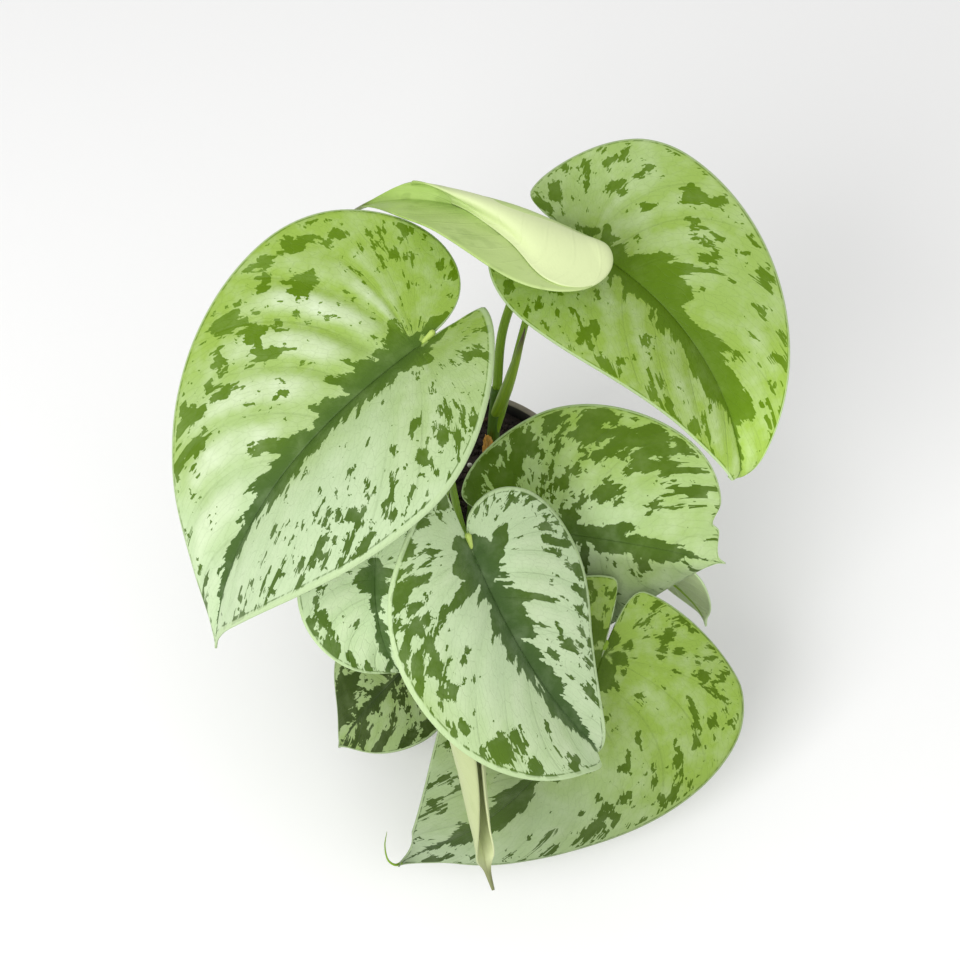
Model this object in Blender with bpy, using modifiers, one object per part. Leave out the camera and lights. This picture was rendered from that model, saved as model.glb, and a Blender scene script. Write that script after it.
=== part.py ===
"""Satin pothos growing in a round nursery pot.

Metres, +Z up.  The origin is the middle of the pot's flat base, and the side
that the plant leans over is -Y.

Each leaf is one blade with its rib and its stalk.  A blade starts as a flat
heart outline of two halves and is then bent: the rib droops, sways and twists,
and each half is folded up from the rib and curled across.
"""
import math
from dataclasses import dataclass

import bmesh
import bpy
import numpy as np
from mathutils import Vector, noise

PART = "potted_satin_pothos"
CUTTERS = "potted_satin_pothos_cutters"

# clearance between nodes that touch
GAP = 0.0003

# pot, with a band below its rim and drain holes in its floor
POT_HEIGHT = 0.092
POT_BASE_RADIUS = 0.0390
POT_RIM_RADIUS = 0.0525
POT_WALL = 0.0016
POT_FLOOR = 0.0024
BAND_HEIGHT = 0.0095
BAND_DEPTH = 0.0017
LIP_ROUND = 0.0006
POT_STEPS = 40
DRAIN_COUNT = 6
DRAIN_RADIUS = 0.0042
DRAIN_CIRCLE = 0.0250
DRAIN_SIDES = 12

# soil
SOIL_TOP = 0.0868
SOIL_GAP = GAP + 0.0002
SOIL_BUMP = 0.0018
SOIL_GRAIN = 90.0
SOIL_SEED = 3.7
SOIL_RINGS = 6
SOIL_STEPS = 28
STEM_HOLE_DEPTH = 0.028

# blades: thickness, rows along a half's margin, columns from the rib to the margin
BLADE = 0.0008
ROWS = 16
COLUMNS = 4
ROLLED_COLUMNS = 7

# the notch at the stalk: half its width at the rib, and at its mouth at least
NOTCH_HALF = 0.0008
SLIT_MIN = 0.0036

# the rows fan out from one point near the stalk, then start further and further along the rib
FAN_FOOT = 0.007
FAN_START = 0.38
FAN_POWER = 1.15

# share of the rib after which its tip curls
TIP_START = 0.86

# the rib under the blade and the stalk
RIB_SIDES = 6
RIB_RADIUS = 0.0013
RIB_END_RADIUS = 0.0005
RIB_REACH = 0.58
STALK_FOOT_RADIUS = 0.0021

# stems and the furled leaf
STEM_SIDES = 10
SPEAR_SIDES = 8

# dry husk on the tallest stem
HUSK_WALL = 0.0006
HUSK_HEIGHT = 0.017
HUSK_LIFT = 0.0022
HUSK_SPREAD = 150
HUSK_HEADING = -110


@dataclass
class Half:
    """One half of a blade, from the rib to its margin."""
    width: float
    lobe: float
    lobe_at: float = 0.42
    widest_at: float = 0.22
    fullness: float = 0.40
    fold: float = 8
    curl: float = 12
    notch_at: float = 0.0
    notch_depth: float = 0.0


@dataclass
class Leaf:
    """A blade with its rib and stalk.  Angles are in degrees."""
    name: str
    base: tuple
    heading: float
    pitch: float
    roll: float
    length: float
    right: Half
    left: Half
    stem: str
    foot: float
    droop: float = 0
    sway: float = 0
    twist: float = 0
    tip: float = 0
    knee: float = 0.014
    rise: float = -0.012
    arch: float = 0.030
    away: tuple = (0.0, 0.0)
    via: tuple = ()
    columns: int = COLUMNS


@dataclass
class Stem:
    """A rooted stem: its foot in the soil, its top and its thickness."""
    name: str
    x: float
    y: float
    lean_x: float
    lean_y: float
    top: float
    radius: float = 0.0030


STEMS = {
    "a": Stem("stem_a", x=0.0135, y=0.008, lean_x=0.002, lean_y=0.001, top=0.150),
    "b": Stem("stem_b", x=-0.0120, y=-0.002, lean_x=-0.003, lean_y=-0.004, top=0.136),
    "c": Stem("stem_c", x=0.0050, y=-0.020, lean_x=0.002, lean_y=-0.006, top=0.128),
}

LEAVES = [
    # large leaf that reaches out to the left
    Leaf("leaf_01", base=(-0.011, -0.0225, 0.220), heading=213, pitch=-17, roll=17, length=0.160,
         droop=59, sway=2, tip=-4,
         right=Half(width=0.074, lobe=0.027, lobe_at=0.37, widest_at=0.16, fold=21, curl=-23),
         left=Half(width=0.071, lobe=0.0235, lobe_at=0.22, widest_at=0.25, fullness=0.42, fold=16, curl=39),
         stem="b", foot=0.134, away=(-0.002, 0.004)),
    # youngest leaf, still rolled, lying over the top; its stalk comes up through a sinus
    Leaf("leaf_02", base=(0.0405, 0.006, 0.2422), heading=153, pitch=5, roll=13, length=0.099,
         droop=43, sway=13,
         right=Half(width=0.014, lobe=0.012, widest_at=0.11, fullness=0.43, fold=27, curl=-200),
         left=Half(width=0.0315, lobe=0.020, lobe_at=0.46, widest_at=0.055, fullness=0.26, fold=0, curl=2),
         stem="a", foot=0.149, knee=0.004,
         via=((0.0475, 0.0045, 0.2365), (0.0460, 0.0140, 0.2325), (0.0395, 0.0260, 0.2295),
              (0.0345, 0.0325, 0.2240), (0.0280, 0.0310, 0.205), (0.0180, 0.0200, 0.176)),
         columns=ROLLED_COLUMNS),
    # upper right leaf
    Leaf("leaf_03", base=(0.0455, 0.0235, 0.2255), heading=-40, pitch=3, roll=-1, length=0.1335,
         droop=85, sway=22, twist=-4, tip=45,
         right=Half(width=0.049, lobe=0.0235, lobe_at=0.37, widest_at=0.14, fullness=0.36, fold=15, curl=25),
         left=Half(width=0.052, lobe=0.029, lobe_at=0.20, widest_at=0.13, fullness=0.39, fold=27, curl=-3),
         stem="a", foot=0.116, knee=0.020, arch=0.056, away=(0.011, -0.003)),
    # middle right leaf, with a nick in its upper margin near the tip
    Leaf("leaf_04", base=(0.0285, -0.0475, 0.1255), heading=-7, pitch=-4, roll=17, length=0.0885,
         droop=36, sway=-5, twist=20, tip=-9,
         right=Half(width=0.051, lobe=0.026, widest_at=0.21, fold=-27, curl=15),
         left=Half(width=0.059, lobe=0.030, lobe_at=0.20, widest_at=0.32, fullness=0.51, fold=28, curl=-12,
                   notch_at=0.86, notch_depth=0.0035),
         stem="c", foot=0.110),
    # front leaf that faces outward
    Leaf("leaf_05", base=(0.0035, -0.0835, 0.1715), heading=-60, pitch=-44, roll=-20, length=0.1205,
         droop=6, sway=-32, twist=-9, tip=67,
         right=Half(width=0.055, lobe=0.026, lobe_at=0.14, widest_at=0.26, fullness=0.46, fold=26, curl=56),
         left=Half(width=0.050, lobe=0.013, lobe_at=0.34, fold=12, curl=24),
         stem="b", foot=0.124, knee=0.018, rise=0.004, away=(0.008, -0.004)),
    # small leaf below the large left one
    Leaf("leaf_06", base=(-0.0355, -0.0565, 0.1205), heading=-97, pitch=-42, roll=7, length=0.063,
         droop=51, sway=-23, twist=-5, tip=7,
         right=Half(width=0.033, lobe=0.016, widest_at=0.27, fullness=0.42, fold=15, curl=1),
         left=Half(width=0.0325, lobe=0.016, fold=12, curl=4),
         stem="b", foot=0.108, knee=0.016, rise=0.006, arch=0.024, away=(-0.008, -0.006)),
    # low leaf that hangs beside the pot
    Leaf("leaf_07", base=(-0.0205, -0.073, 0.0565), heading=215, pitch=-24, roll=3, length=0.0575,
         droop=36, twist=6, tip=1,
         right=Half(width=0.0355, lobe=0.010, fold=4, curl=4),
         left=Half(width=0.034, lobe=0.010, widest_at=0.24, fullness=0.41, fold=7, curl=7),
         stem="b", foot=0.099, knee=0.004, rise=0.058, arch=0.016, away=(-0.002, -0.012)),
    # large leaf at the lower right, its tip curled up
    Leaf("leaf_08", base=(0.062, -0.0845, 0.0935), heading=-110, pitch=-28, roll=-23, length=0.145,
         droop=53, sway=51, twist=-27, tip=-119,
         right=Half(width=0.0605, lobe=0.027, lobe_at=0.16, fold=10, curl=11),
         left=Half(width=0.074, lobe=0.0255, lobe_at=0.23, widest_at=0.13, fullness=0.26, fold=-7, curl=-9),
         stem="c", foot=0.096, knee=0.0, rise=-0.052, arch=0.024, away=(0.023, -0.016)),
    # young rolled leaf hanging below the front leaf
    Leaf("leaf_09", base=(-0.0045, -0.105, 0.132), heading=-84, pitch=-43, roll=-6, length=0.116,
         droop=14, sway=-4, tip=-20,
         right=Half(width=0.026, lobe=0.008, fullness=0.46, fold=26, curl=-132),
         left=Half(width=0.022, lobe=0.008, fullness=0.46, fold=12, curl=-108),
         stem="b", foot=0.116, knee=0.014, rise=0.010, arch=0.026, away=(0.010, -0.010),
         columns=ROLLED_COLUMNS),
    # small leaf hanging on edge behind the middle right one
    Leaf("leaf_10", base=(0.0705, -0.030, 0.084), heading=-25, pitch=-16, roll=-72, length=0.060,
         droop=10, sway=-50, tip=10,
         right=Half(width=0.028, lobe=0.012),
         left=Half(width=0.024, lobe=0.012),
         stem="a", foot=0.102, knee=0.008, rise=0.024, arch=0.016),
]


def new_object(name, mesh, collection):
    obj = bpy.data.objects.new(name, mesh)
    bpy.data.collections[collection].objects.link(obj)
    return obj


def mesh_from(name, verts, faces):
    mesh = bpy.data.meshes.new(name)
    mesh.from_pydata([tuple(v) for v in verts], [], faces)
    mesh.update()
    return mesh


def bake(obj):
    """Replace an object's mesh with its evaluated mesh and drop its modifiers."""
    graph = bpy.context.evaluated_depsgraph_get()
    mesh = bpy.data.meshes.new_from_object(obj.evaluated_get(graph))
    obj.modifiers.clear()
    old = obj.data
    obj.data = mesh
    mesh.name = obj.name
    if isinstance(old, bpy.types.Mesh):
        bpy.data.meshes.remove(old)
    return obj


def clean(obj):
    """Merge doubled points and turn all faces outward."""
    bm = bmesh.new()
    bm.from_mesh(obj.data)
    bmesh.ops.remove_doubles(bm, verts=bm.verts, dist=2e-6)
    bmesh.ops.recalc_face_normals(bm, faces=bm.faces)
    bm.to_mesh(obj.data)
    bm.free()
    return obj


def boolean(obj, other, operation):
    mod = obj.modifiers.new(operation.lower(), "BOOLEAN")
    mod.operation = operation
    mod.solver = "EXACT"
    mod.object = other
    return bake(obj)


def retire(obj):
    """Keep a used cutter only as a wire that isn't rendered."""
    obj.display_type = "WIRE"
    obj.hide_render = True


def material(name, colour, roughness):
    mat = bpy.data.materials.new(name)
    mat.use_nodes = True
    shader = mat.node_tree.nodes["Principled BSDF"]
    shader.inputs["Base Color"].default_value = (*colour, 1.0)
    shader.inputs["Roughness"].default_value = roughness
    mat.diffuse_color = (*colour, 1.0)
    return mat


def tube(name, points, radii, sides, collection):
    """A closed round tube through points, with a radius at each of them."""
    curve = bpy.data.curves.new(name, "CURVE")
    curve.dimensions = "3D"
    curve.bevel_depth = max(radii)
    curve.bevel_resolution = sides // 2 - 2
    curve.use_fill_caps = True
    spline = curve.splines.new("POLY")
    spline.points.add(len(points) - 1)
    for spot, point, radius in zip(spline.points, points, radii):
        spot.co = (*point, 1.0)
        spot.radius = radius / max(radii)
    path = new_object(f"{name}_path", curve, collection)
    graph = bpy.context.evaluated_depsgraph_get()
    mesh = bpy.data.meshes.new_from_object(path.evaluated_get(graph))
    mesh.name = name
    bpy.data.objects.remove(path, do_unlink=True)
    return clean(new_object(name, mesh, collection))


def bezier(p0, p1, p2, p3, count):
    p0, p1, p2, p3 = (np.asarray(p, float) for p in (p0, p1, p2, p3))
    t = np.linspace(0.0, 1.0, count)[:, None]
    return (1 - t) ** 3 * p0 + 3 * t * (1 - t) ** 2 * p1 + 3 * t * t * (1 - t) * p2 + t ** 3 * p3


def through(points, count):
    """Smooth curve through points, its samples spread evenly over the spans."""
    points = np.array(points, float)
    row = np.vstack([2 * points[0] - points[1], points, 2 * points[-1] - points[-2]])
    place = np.linspace(0.0, len(points) - 1, count)
    span = np.minimum(place.astype(int), len(points) - 2)
    t = (place - span)[:, None]
    a, b, c, d = (row[span + k] for k in range(4))
    return 0.5 * (2 * b + (c - a) * t + (2 * a - 5 * b + 4 * c - d) * t ** 2 + (3 * b - a - 3 * c + d) * t ** 3)


def margin(length, half, rows):
    """Flat margin of one half: the middle of the notch, its corner, then evenly on to the tip."""
    back = np.array([half.lobe_at * half.width, -half.lobe])
    wide = np.array([half.width, half.widest_at * length])
    tip = np.array([0.0, length])
    slit = NOTCH_HALF + max(0.07 * half.width, SLIT_MIN)
    inner = bezier((NOTCH_HALF, 0), (slit, -0.62 * half.lobe),
                   back - (0.6 * half.lobe_at * half.width, 0), back, 60)
    outer = bezier(back, back + (0.28 * half.width, 0),
                   wide - (0, 0.56 * (wide[1] + half.lobe)), wide, 60)
    front = bezier(wide, wide + (0, half.fullness * length),
                   tip + (0.16 * half.width, -0.14 * length), tip, 120)
    line = np.vstack([inner, outer[1:], front[1:]])
    run = np.concatenate([[0.0], np.cumsum(np.linalg.norm(np.diff(line, axis=0), axis=1))])
    share = run / run[-1]
    if half.notch_depth:
        bite = half.notch_depth * np.exp(-((share - half.notch_at) / 0.016) ** 2)
        line = line - bite[:, None] * np.array([0.8, 0.6])
    even = np.linspace(0.0, 1.0, rows)
    edge = np.stack([np.interp(even, share, line[:, 0]), np.interp(even, share, line[:, 1])], axis=1)
    return np.vstack([(0.0, 0.0), edge])


class Rib:
    """The bent rib of a leaf: points along it with the directions of the blade there."""

    def __init__(self, leaf, steps=80):
        heading, pitch, roll = (math.radians(a) for a in (leaf.heading, leaf.pitch, leaf.roll))
        forward = np.array([math.cos(pitch) * math.cos(heading), math.cos(pitch) * math.sin(heading),
                            math.sin(pitch)])
        level = np.cross(forward, [0, 0, 1])
        level /= np.linalg.norm(level)
        upper = np.cross(level, forward)
        right = level * math.cos(roll) - upper * math.sin(roll)
        normal = upper * math.cos(roll) + level * math.sin(roll)
        axes = np.stack([right, forward, normal])

        self.run = np.linspace(0.0, leaf.length, steps)
        share = self.run / leaf.length
        curl_in = np.clip((share - TIP_START) / (1 - TIP_START), 0, 1) ** 1.5
        droop = np.radians(leaf.droop) * share ** 1.4 + np.radians(leaf.tip) * curl_in
        sway = np.radians(leaf.sway) * share ** 1.2
        twist = np.radians(leaf.twist) * share
        ahead = np.stack([np.sin(sway) * np.cos(droop), np.cos(sway) * np.cos(droop), -np.sin(droop)], 1)
        across = np.stack([np.cos(sway), -np.sin(sway), 0 * sway], 1)
        above = np.cross(across, ahead)
        turn, rest = np.sin(twist)[:, None], np.cos(twist)[:, None]
        step = leaf.length / (steps - 1)
        middle = (ahead[1:] + ahead[:-1]) / 2 * step
        path = np.vstack([np.zeros(3), np.cumsum(middle, axis=0)])
        self.point = path @ axes + np.array(leaf.base)
        self.ahead = ahead @ axes
        self.across = (across * rest - above * turn) @ axes
        self.above = (above * rest + across * turn) @ axes

    def at(self, distance):
        """Point, ahead, across and above at distances along the rib."""
        flat = np.clip(np.ravel(distance), 0, self.run[-1])
        shape = np.shape(distance) + (3,)
        return [np.stack([np.interp(flat, self.run, values[:, k]) for k in range(3)], 1).reshape(shape)
                for values in (self.point, self.ahead, self.across, self.above)]


def half_surface(leaf, half, side, rows, columns):
    """Middle surface of one half: a grid of points, rib to margin along each row."""
    edge = margin(leaf.length, half, rows)
    share = np.linspace(0.0, 1.0, rows + 1)
    fan = np.clip((share - FAN_START) / (1 - FAN_START), 0, 1) ** FAN_POWER
    start = np.zeros_like(edge)
    start[:, 1] = FAN_FOOT + (leaf.length - FAN_FOOT) * fan
    out = np.linspace(0.0, 1.0, columns + 1)
    flat = start[:, None, :] + out[None, :, None] * (edge - start)[:, None, :]
    x, y = flat[..., 0], flat[..., 1]
    point, ahead, across, above = Rib(leaf).at(y)
    point = point + np.minimum(y, 0)[..., None] * ahead
    fold = math.radians(half.fold)
    bend = math.radians(half.curl) / half.width
    over = (math.sin(fold) - np.sin(fold - bend * x)) / bend
    up = (np.cos(fold - bend * x) - math.cos(fold)) / bend
    return point + side * over[..., None] * across + up[..., None] * above


def blade(leaf):
    """The blade as one shell, split into the same triangles on both faces."""
    verts, index, faces = [], {}, []

    def vertex(point):
        key = tuple(np.round(point, 7))
        if key not in index:
            index[key] = len(verts)
            verts.append(key)
        return index[key]

    for half, side in ((leaf.right, 1), (leaf.left, -1)):
        grid = half_surface(leaf, half, side, ROWS, leaf.columns)
        for i in range(ROWS):
            for j in range(leaf.columns):
                a, b = vertex(grid[i, j]), vertex(grid[i, j + 1])
                c, d = vertex(grid[i + 1, j + 1]), vertex(grid[i + 1, j])
                for tri in ((a, b, c), (a, c, d)):
                    if len(set(tri)) == 3:
                        faces.append(tri if side > 0 else tri[::-1])
    obj = new_object(leaf.name, mesh_from(leaf.name, verts, faces), PART)
    shell = obj.modifiers.new("blade", "SOLIDIFY")
    shell.thickness = BLADE
    shell.offset = 0.0
    return clean(bake(obj))


def rib_and_stalk(leaf):
    """Path and radii of the rib under the blade and of the stalk down to its stem."""
    rib = Rib(leaf)
    points, radii = [], []
    for share in np.linspace(RIB_REACH, 0.0, 8):
        point, ahead, across, above = rib.at(np.array([share * leaf.length]))
        radius = RIB_RADIUS + (RIB_END_RADIUS - RIB_RADIUS) * share / RIB_REACH
        sunk = (BLADE / 2 + 0.35 * radius) * min(share / 0.07, 1.0)
        points.append(point[0] - above[0] * sunk)
        radii.append(radius)
    base = np.array(leaf.base)
    back = rib.ahead[0]
    foot = stem_point(STEMS[leaf.stem], leaf.foot)
    if leaf.via:
        stalk = through([base, base - back * leaf.knee, *leaf.via, foot], 25)[1:]
    else:
        first = base - back * leaf.knee + np.array([0, 0, leaf.rise])
        last = foot + np.array([*leaf.away, leaf.arch])
        stalk = bezier(base, first, last, foot, 13)[1:]
    for share, point in zip(np.linspace(0.0, 1.0, len(stalk) + 1)[1:], stalk):
        points.append(point)
        radii.append(RIB_RADIUS + (STALK_FOOT_RADIUS - RIB_RADIUS) * share)
    return points, radii


def stem_line(stem):
    """Centre line of a stem: upright in its hole, then leaning a little."""
    low = SOIL_TOP - STEM_HOLE_DEPTH + GAP
    knee = SOIL_TOP + 0.003
    points = [(stem.x, stem.y, low), (stem.x, stem.y, knee)]
    for share in (0.25, 0.5, 0.75, 1.0):
        bend = share ** 1.4
        points.append((stem.x + stem.lean_x * bend, stem.y + stem.lean_y * bend,
                       knee + (stem.top - knee) * share))
    return points


def stem_point(stem, height):
    line = np.array(stem_line(stem))
    return np.array([np.interp(height, line[:, 2], line[:, 0]), np.interp(height, line[:, 2], line[:, 1]),
                     height])


def make_stems():
    stems = {}
    for key, stem in STEMS.items():
        line = stem_line(stem)
        radii = [stem.radius, stem.radius] + [stem.radius * f for f in (0.97, 0.93, 0.9, 0.84)]
        stems[key] = tube(stem.name, line, radii, STEM_SIDES, PART)
    return stems


def make_leaves():
    """Blades with ribs and stalks; each stalk's foot is cut to the stem that it clasps."""
    clasps = {}
    for key, stem in STEMS.items():
        line = stem_line(stem)
        top = line[-1]
        line = line[1:-1] + [(top[0], top[1], top[2] + GAP)]
        radii = [stem.radius * f + 1.3 * GAP for f in (1.0, 0.97, 0.93, 0.9, 0.84)]
        clasps[key] = tube(f"clasp_{key}", line, radii, STEM_SIDES, CUTTERS)
    leaves = []
    for leaf in LEAVES:
        obj = blade(leaf)
        points, radii = rib_and_stalk(leaf)
        stalk = tube(f"{leaf.name}_stalk", points, radii, RIB_SIDES, CUTTERS)
        boolean(stalk, clasps[leaf.stem], "DIFFERENCE")
        boolean(obj, stalk, "UNION")
        clean(obj)
        retire(stalk)
        leaves.append(obj)
    for cutter in clasps.values():
        retire(cutter)
    return leaves


def screw(name, profile, steps, collection):
    """Turn a closed profile in the XZ plane about Z."""
    edges = [(i, (i + 1) % len(profile)) for i in range(len(profile))]
    mesh = bpy.data.meshes.new(name)
    mesh.from_pydata([(x, 0.0, z) for x, z in profile], edges, [])
    obj = new_object(name, mesh, collection)
    mod = obj.modifiers.new("turn", "SCREW")
    mod.axis = "Z"
    mod.angle = 2 * math.pi
    mod.steps = steps
    mod.render_steps = steps
    mod.use_merge_vertices = True
    mod.merge_threshold = 1e-5
    return clean(bake(obj))


def pot_inner_radius(z):
    """Inside radius of the pot's wall at a height."""
    outer = POT_BASE_RADIUS + (POT_RIM_RADIUS - BAND_DEPTH - POT_BASE_RADIUS) * z / POT_HEIGHT
    return outer - POT_WALL


def make_pot():
    band = POT_HEIGHT - BAND_HEIGHT
    outer_band = POT_BASE_RADIUS + (POT_RIM_RADIUS - BAND_DEPTH - POT_BASE_RADIUS) * band / POT_HEIGHT
    inner_top = pot_inner_radius(POT_HEIGHT)
    # outer side from top to bottom, then the floor and back up inside
    profile = [
        (POT_RIM_RADIUS - LIP_ROUND, POT_HEIGHT),
        (POT_RIM_RADIUS, POT_HEIGHT - LIP_ROUND),
        (POT_RIM_RADIUS - 0.0004, band),
        (outer_band, band - 0.0008),
        (POT_BASE_RADIUS + 0.0008, 0.0012),
        (POT_BASE_RADIUS - 0.0004, 0.0),
        (DRAIN_CIRCLE - DRAIN_RADIUS - 0.004, 0.0),
        (0.0, 0.0),
        (0.0, POT_FLOOR),
        (pot_inner_radius(POT_FLOOR), POT_FLOOR),
        (inner_top, POT_HEIGHT - LIP_ROUND),
        (inner_top + LIP_ROUND, POT_HEIGHT),
    ]
    pot = screw("pot", profile, POT_STEPS, PART)
    for k in range(DRAIN_COUNT):
        turn = 2 * math.pi * (k + 0.5) / DRAIN_COUNT
        spot = (DRAIN_CIRCLE * math.cos(turn), DRAIN_CIRCLE * math.sin(turn))
        ends = [(*spot, -0.002), (*spot, POT_FLOOR + 0.002)]
        drain = tube(f"drain_{k + 1}", ends, [DRAIN_RADIUS] * 2, DRAIN_SIDES, CUTTERS)
        boolean(pot, drain, "DIFFERENCE")
        retire(drain)
    return clean(pot)


def make_soil():
    """Soil that fills the pot, with an uneven top and plain holes for the stems."""
    low = POT_FLOOR + GAP
    rim = pot_inner_radius(SOIL_TOP) - SOIL_GAP
    foot = pot_inner_radius(low) - SOIL_GAP
    rings = [(rim * ring / SOIL_RINGS, SOIL_TOP) for ring in range(SOIL_RINGS)]
    soil = screw("soil", [(rim, SOIL_TOP), (foot, low), (0.0, low), *rings], SOIL_STEPS, PART)
    bm = bmesh.new()
    bm.from_mesh(soil.data)
    for vert in bm.verts:
        if vert.co.z > SOIL_TOP - GAP:
            rough = noise.noise(Vector((vert.co.x * SOIL_GRAIN, vert.co.y * SOIL_GRAIN, SOIL_SEED)))
            at_rim = vert.co.xy.length > rim - GAP
            vert.co.z += SOIL_BUMP * rough * (0.3 if at_rim else 1.0)
    bmesh.ops.triangulate(bm, faces=bm.faces)
    bm.to_mesh(soil.data)
    bm.free()
    for key, stem in STEMS.items():
        ends = [(stem.x, stem.y, SOIL_TOP - STEM_HOLE_DEPTH), (stem.x, stem.y, SOIL_TOP + 0.004)]
        hole = tube(f"stem_hole_{key}", ends, [stem.radius + 1.4 * GAP] * 2, STEM_SIDES, CUTTERS)
        boolean(soil, hole, "DIFFERENCE")
        retire(hole)
    return clean(soil)


def make_spear():
    """Furled new leaf: a pointed sheath that grows from the side of the tallest stem."""
    stem = STEMS["a"]
    foot = stem_point(stem, 0.134)
    tip = np.array([0.0262, -0.002, 0.2015])
    line = bezier(foot, foot + (-0.001, -0.016, 0.011), tip - (0.004, 0, 0.030), tip, 10)
    radii = [0.0014, 0.0019, 0.0023, 0.0026, 0.0027, 0.0026, 0.0022, 0.0017, 0.0011, 0.0003]
    spear = tube("spear", line, radii, SPEAR_SIDES, PART)
    return clean(boolean(spear, bpy.data.objects["clasp_a"], "DIFFERENCE"))


def make_dry_sheath():
    """Dry husk that wraps part of the tallest stem just above the soil."""
    stem = STEMS["a"]
    rows, columns = 5, 6
    verts, faces = [], []
    for i in range(rows + 1):
        rise = i / rows
        spread = math.radians(HUSK_SPREAD) * (1 - 0.82 * rise ** 1.5)
        flare = stem.radius + 1.6 * GAP + 0.0016 * rise ** 2
        for j in range(columns + 1):
            turn = math.radians(HUSK_HEADING) + spread * (j / columns - 0.5)
            verts.append((stem.x + flare * math.cos(turn), stem.y + flare * math.sin(turn),
                          SOIL_TOP + HUSK_LIFT + HUSK_HEIGHT * rise))
    for i in range(rows):
        for j in range(columns):
            a = i * (columns + 1) + j
            b, c, d = a + 1, a + columns + 2, a + columns + 1
            faces.extend([(a, b, c), (a, c, d)])
    obj = new_object("dry_sheath", mesh_from("dry_sheath", verts, faces), PART)
    shell = obj.modifiers.new("husk", "SOLIDIFY")
    shell.thickness = HUSK_WALL
    shell.offset = 1.0
    return clean(bake(obj))


def main():
    for obj in list(bpy.data.objects):
        bpy.data.objects.remove(obj, do_unlink=True)
    for name in (PART, CUTTERS):
        collection = bpy.data.collections.new(name)
        bpy.context.scene.collection.children.link(collection)

    green = material("leaf_green", (0.42, 0.60, 0.34), 0.45)
    young = material("young_leaf", (0.66, 0.76, 0.45), 0.45)
    stalk = material("stem_green", (0.24, 0.38, 0.12), 0.5)
    husk = material("dry_husk", (0.55, 0.28, 0.10), 0.8)
    plastic = material("pot_plastic", (0.05, 0.05, 0.055), 0.45)
    earth = material("soil", (0.045, 0.028, 0.020), 0.95)

    make_pot().data.materials.append(plastic)
    make_soil().data.materials.append(earth)
    for stem in make_stems().values():
        stem.data.materials.append(stalk)
    for leaf in make_leaves():
        leaf.data.materials.clear()
        leaf.data.materials.append(young if leaf.name in ("leaf_02", "leaf_09") else green)
    make_spear().data.materials.append(stalk)
    make_dry_sheath().data.materials.append(husk)
    bpy.data.collections[CUTTERS].hide_render = True


main()
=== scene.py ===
"""Satin pothos in a nursery pot: finished leaves, stalks, stems, soil, pot and a plain studio.

Metres, +Z up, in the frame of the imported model.  Each blade starts as a flat heart outline of two
halves, is bent like its solid, and gets its veins, quilting and mottling in leaf coordinates.
"""
import math
from dataclasses import dataclass

import bmesh
import bpy
import numpy as np
from mathutils import Matrix, Vector, noise


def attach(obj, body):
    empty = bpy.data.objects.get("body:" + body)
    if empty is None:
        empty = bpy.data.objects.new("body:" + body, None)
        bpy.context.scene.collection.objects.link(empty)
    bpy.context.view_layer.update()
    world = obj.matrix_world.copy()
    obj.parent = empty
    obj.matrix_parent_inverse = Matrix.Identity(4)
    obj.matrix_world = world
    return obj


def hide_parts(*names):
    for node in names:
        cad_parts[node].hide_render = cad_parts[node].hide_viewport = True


bl_info = {
    "name": "Potted satin pothos",
    "version": (1, 0, 0),
    "blender": (4, 5, 0),
    "location": "3D View > Sidebar > Pothos",
    "description": "Builds the finished leaves, stems, soil and pot of a potted satin pothos",
    "category": "Object",
}

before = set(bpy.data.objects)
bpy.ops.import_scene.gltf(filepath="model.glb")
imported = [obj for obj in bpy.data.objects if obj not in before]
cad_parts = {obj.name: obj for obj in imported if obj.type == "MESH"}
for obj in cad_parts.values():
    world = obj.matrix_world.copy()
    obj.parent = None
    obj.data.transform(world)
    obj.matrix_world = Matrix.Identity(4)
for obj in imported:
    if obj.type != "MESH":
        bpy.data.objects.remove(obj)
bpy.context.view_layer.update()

# pot, as in the solids
POT_HEIGHT = 0.092
POT_BASE_RADIUS = 0.0390
POT_RIM_RADIUS = 0.0525
POT_WALL = 0.0016
POT_FLOOR = 0.0024
BAND_HEIGHT = 0.0095
BAND_DEPTH = 0.0017
DRAIN_COUNT = 6
DRAIN_RADIUS = 0.0042
DRAIN_CIRCLE = 0.0250
SOIL_TOP = 0.0868

# finer edges of the pot: lip, corners of the band, foot, bead below the band, heights of the
# wall's rings outside and inside, and underside
LIP_RADIUS = 0.0010
CORNER_RADIUS = 0.0006
FOOT_RADIUS = 0.0014
BEAD = ((0.0120, 0.0001), (0.0125, 0.0004), (0.0135, 0.0004), (0.0140, 0.0001))
OUTER_RINGS = (0.056, 0.044, 0.032, 0.020, 0.009)
INNER_RINGS = (0.02, 0.05, 0.075)
UNDERSIDE = ((0.0350, 0.0), (0.0342, 0.0007), (0.0330, 0.0007), (0.0180, 0.0007), (0.0150, 0.0), (0.0, 0.0))

# soil: gap to the wall, and the grid of its top
SOIL_GAP = 0.0005
SOIL_RINGS = 70
SOIL_STEPS = 220

# stems: how deep they stand in the soil, and the height above it from which they lean
STEM_DEPTH = 0.012
STEM_KNEE = 0.003

# dry husk: rows and columns of its sheet, wall, how far above the soil it starts, height, and its
# spread and heading in degrees
HUSK_ROWS = 34
HUSK_COLUMNS = 44
HUSK_WALL = 0.0003
HUSK_LIFT = 0.0022
HUSK_HEIGHT = 0.034
HUSK_SPREAD = 150
HUSK_HEADING = -110

# furled leaf: sides of its roll, where it leaves its stem, its tip, and its radii at even steps
SPEAR_SIDES = 40
SPEAR_FOOT = 0.134
SPEAR_TIP = (0.0262, -0.002, 0.2015)
SPEAR_RADII = (0.0014, 0.0019, 0.0023, 0.0026, 0.0027, 0.0026, 0.0022, 0.0017, 0.0011, 0.0002)

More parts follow.
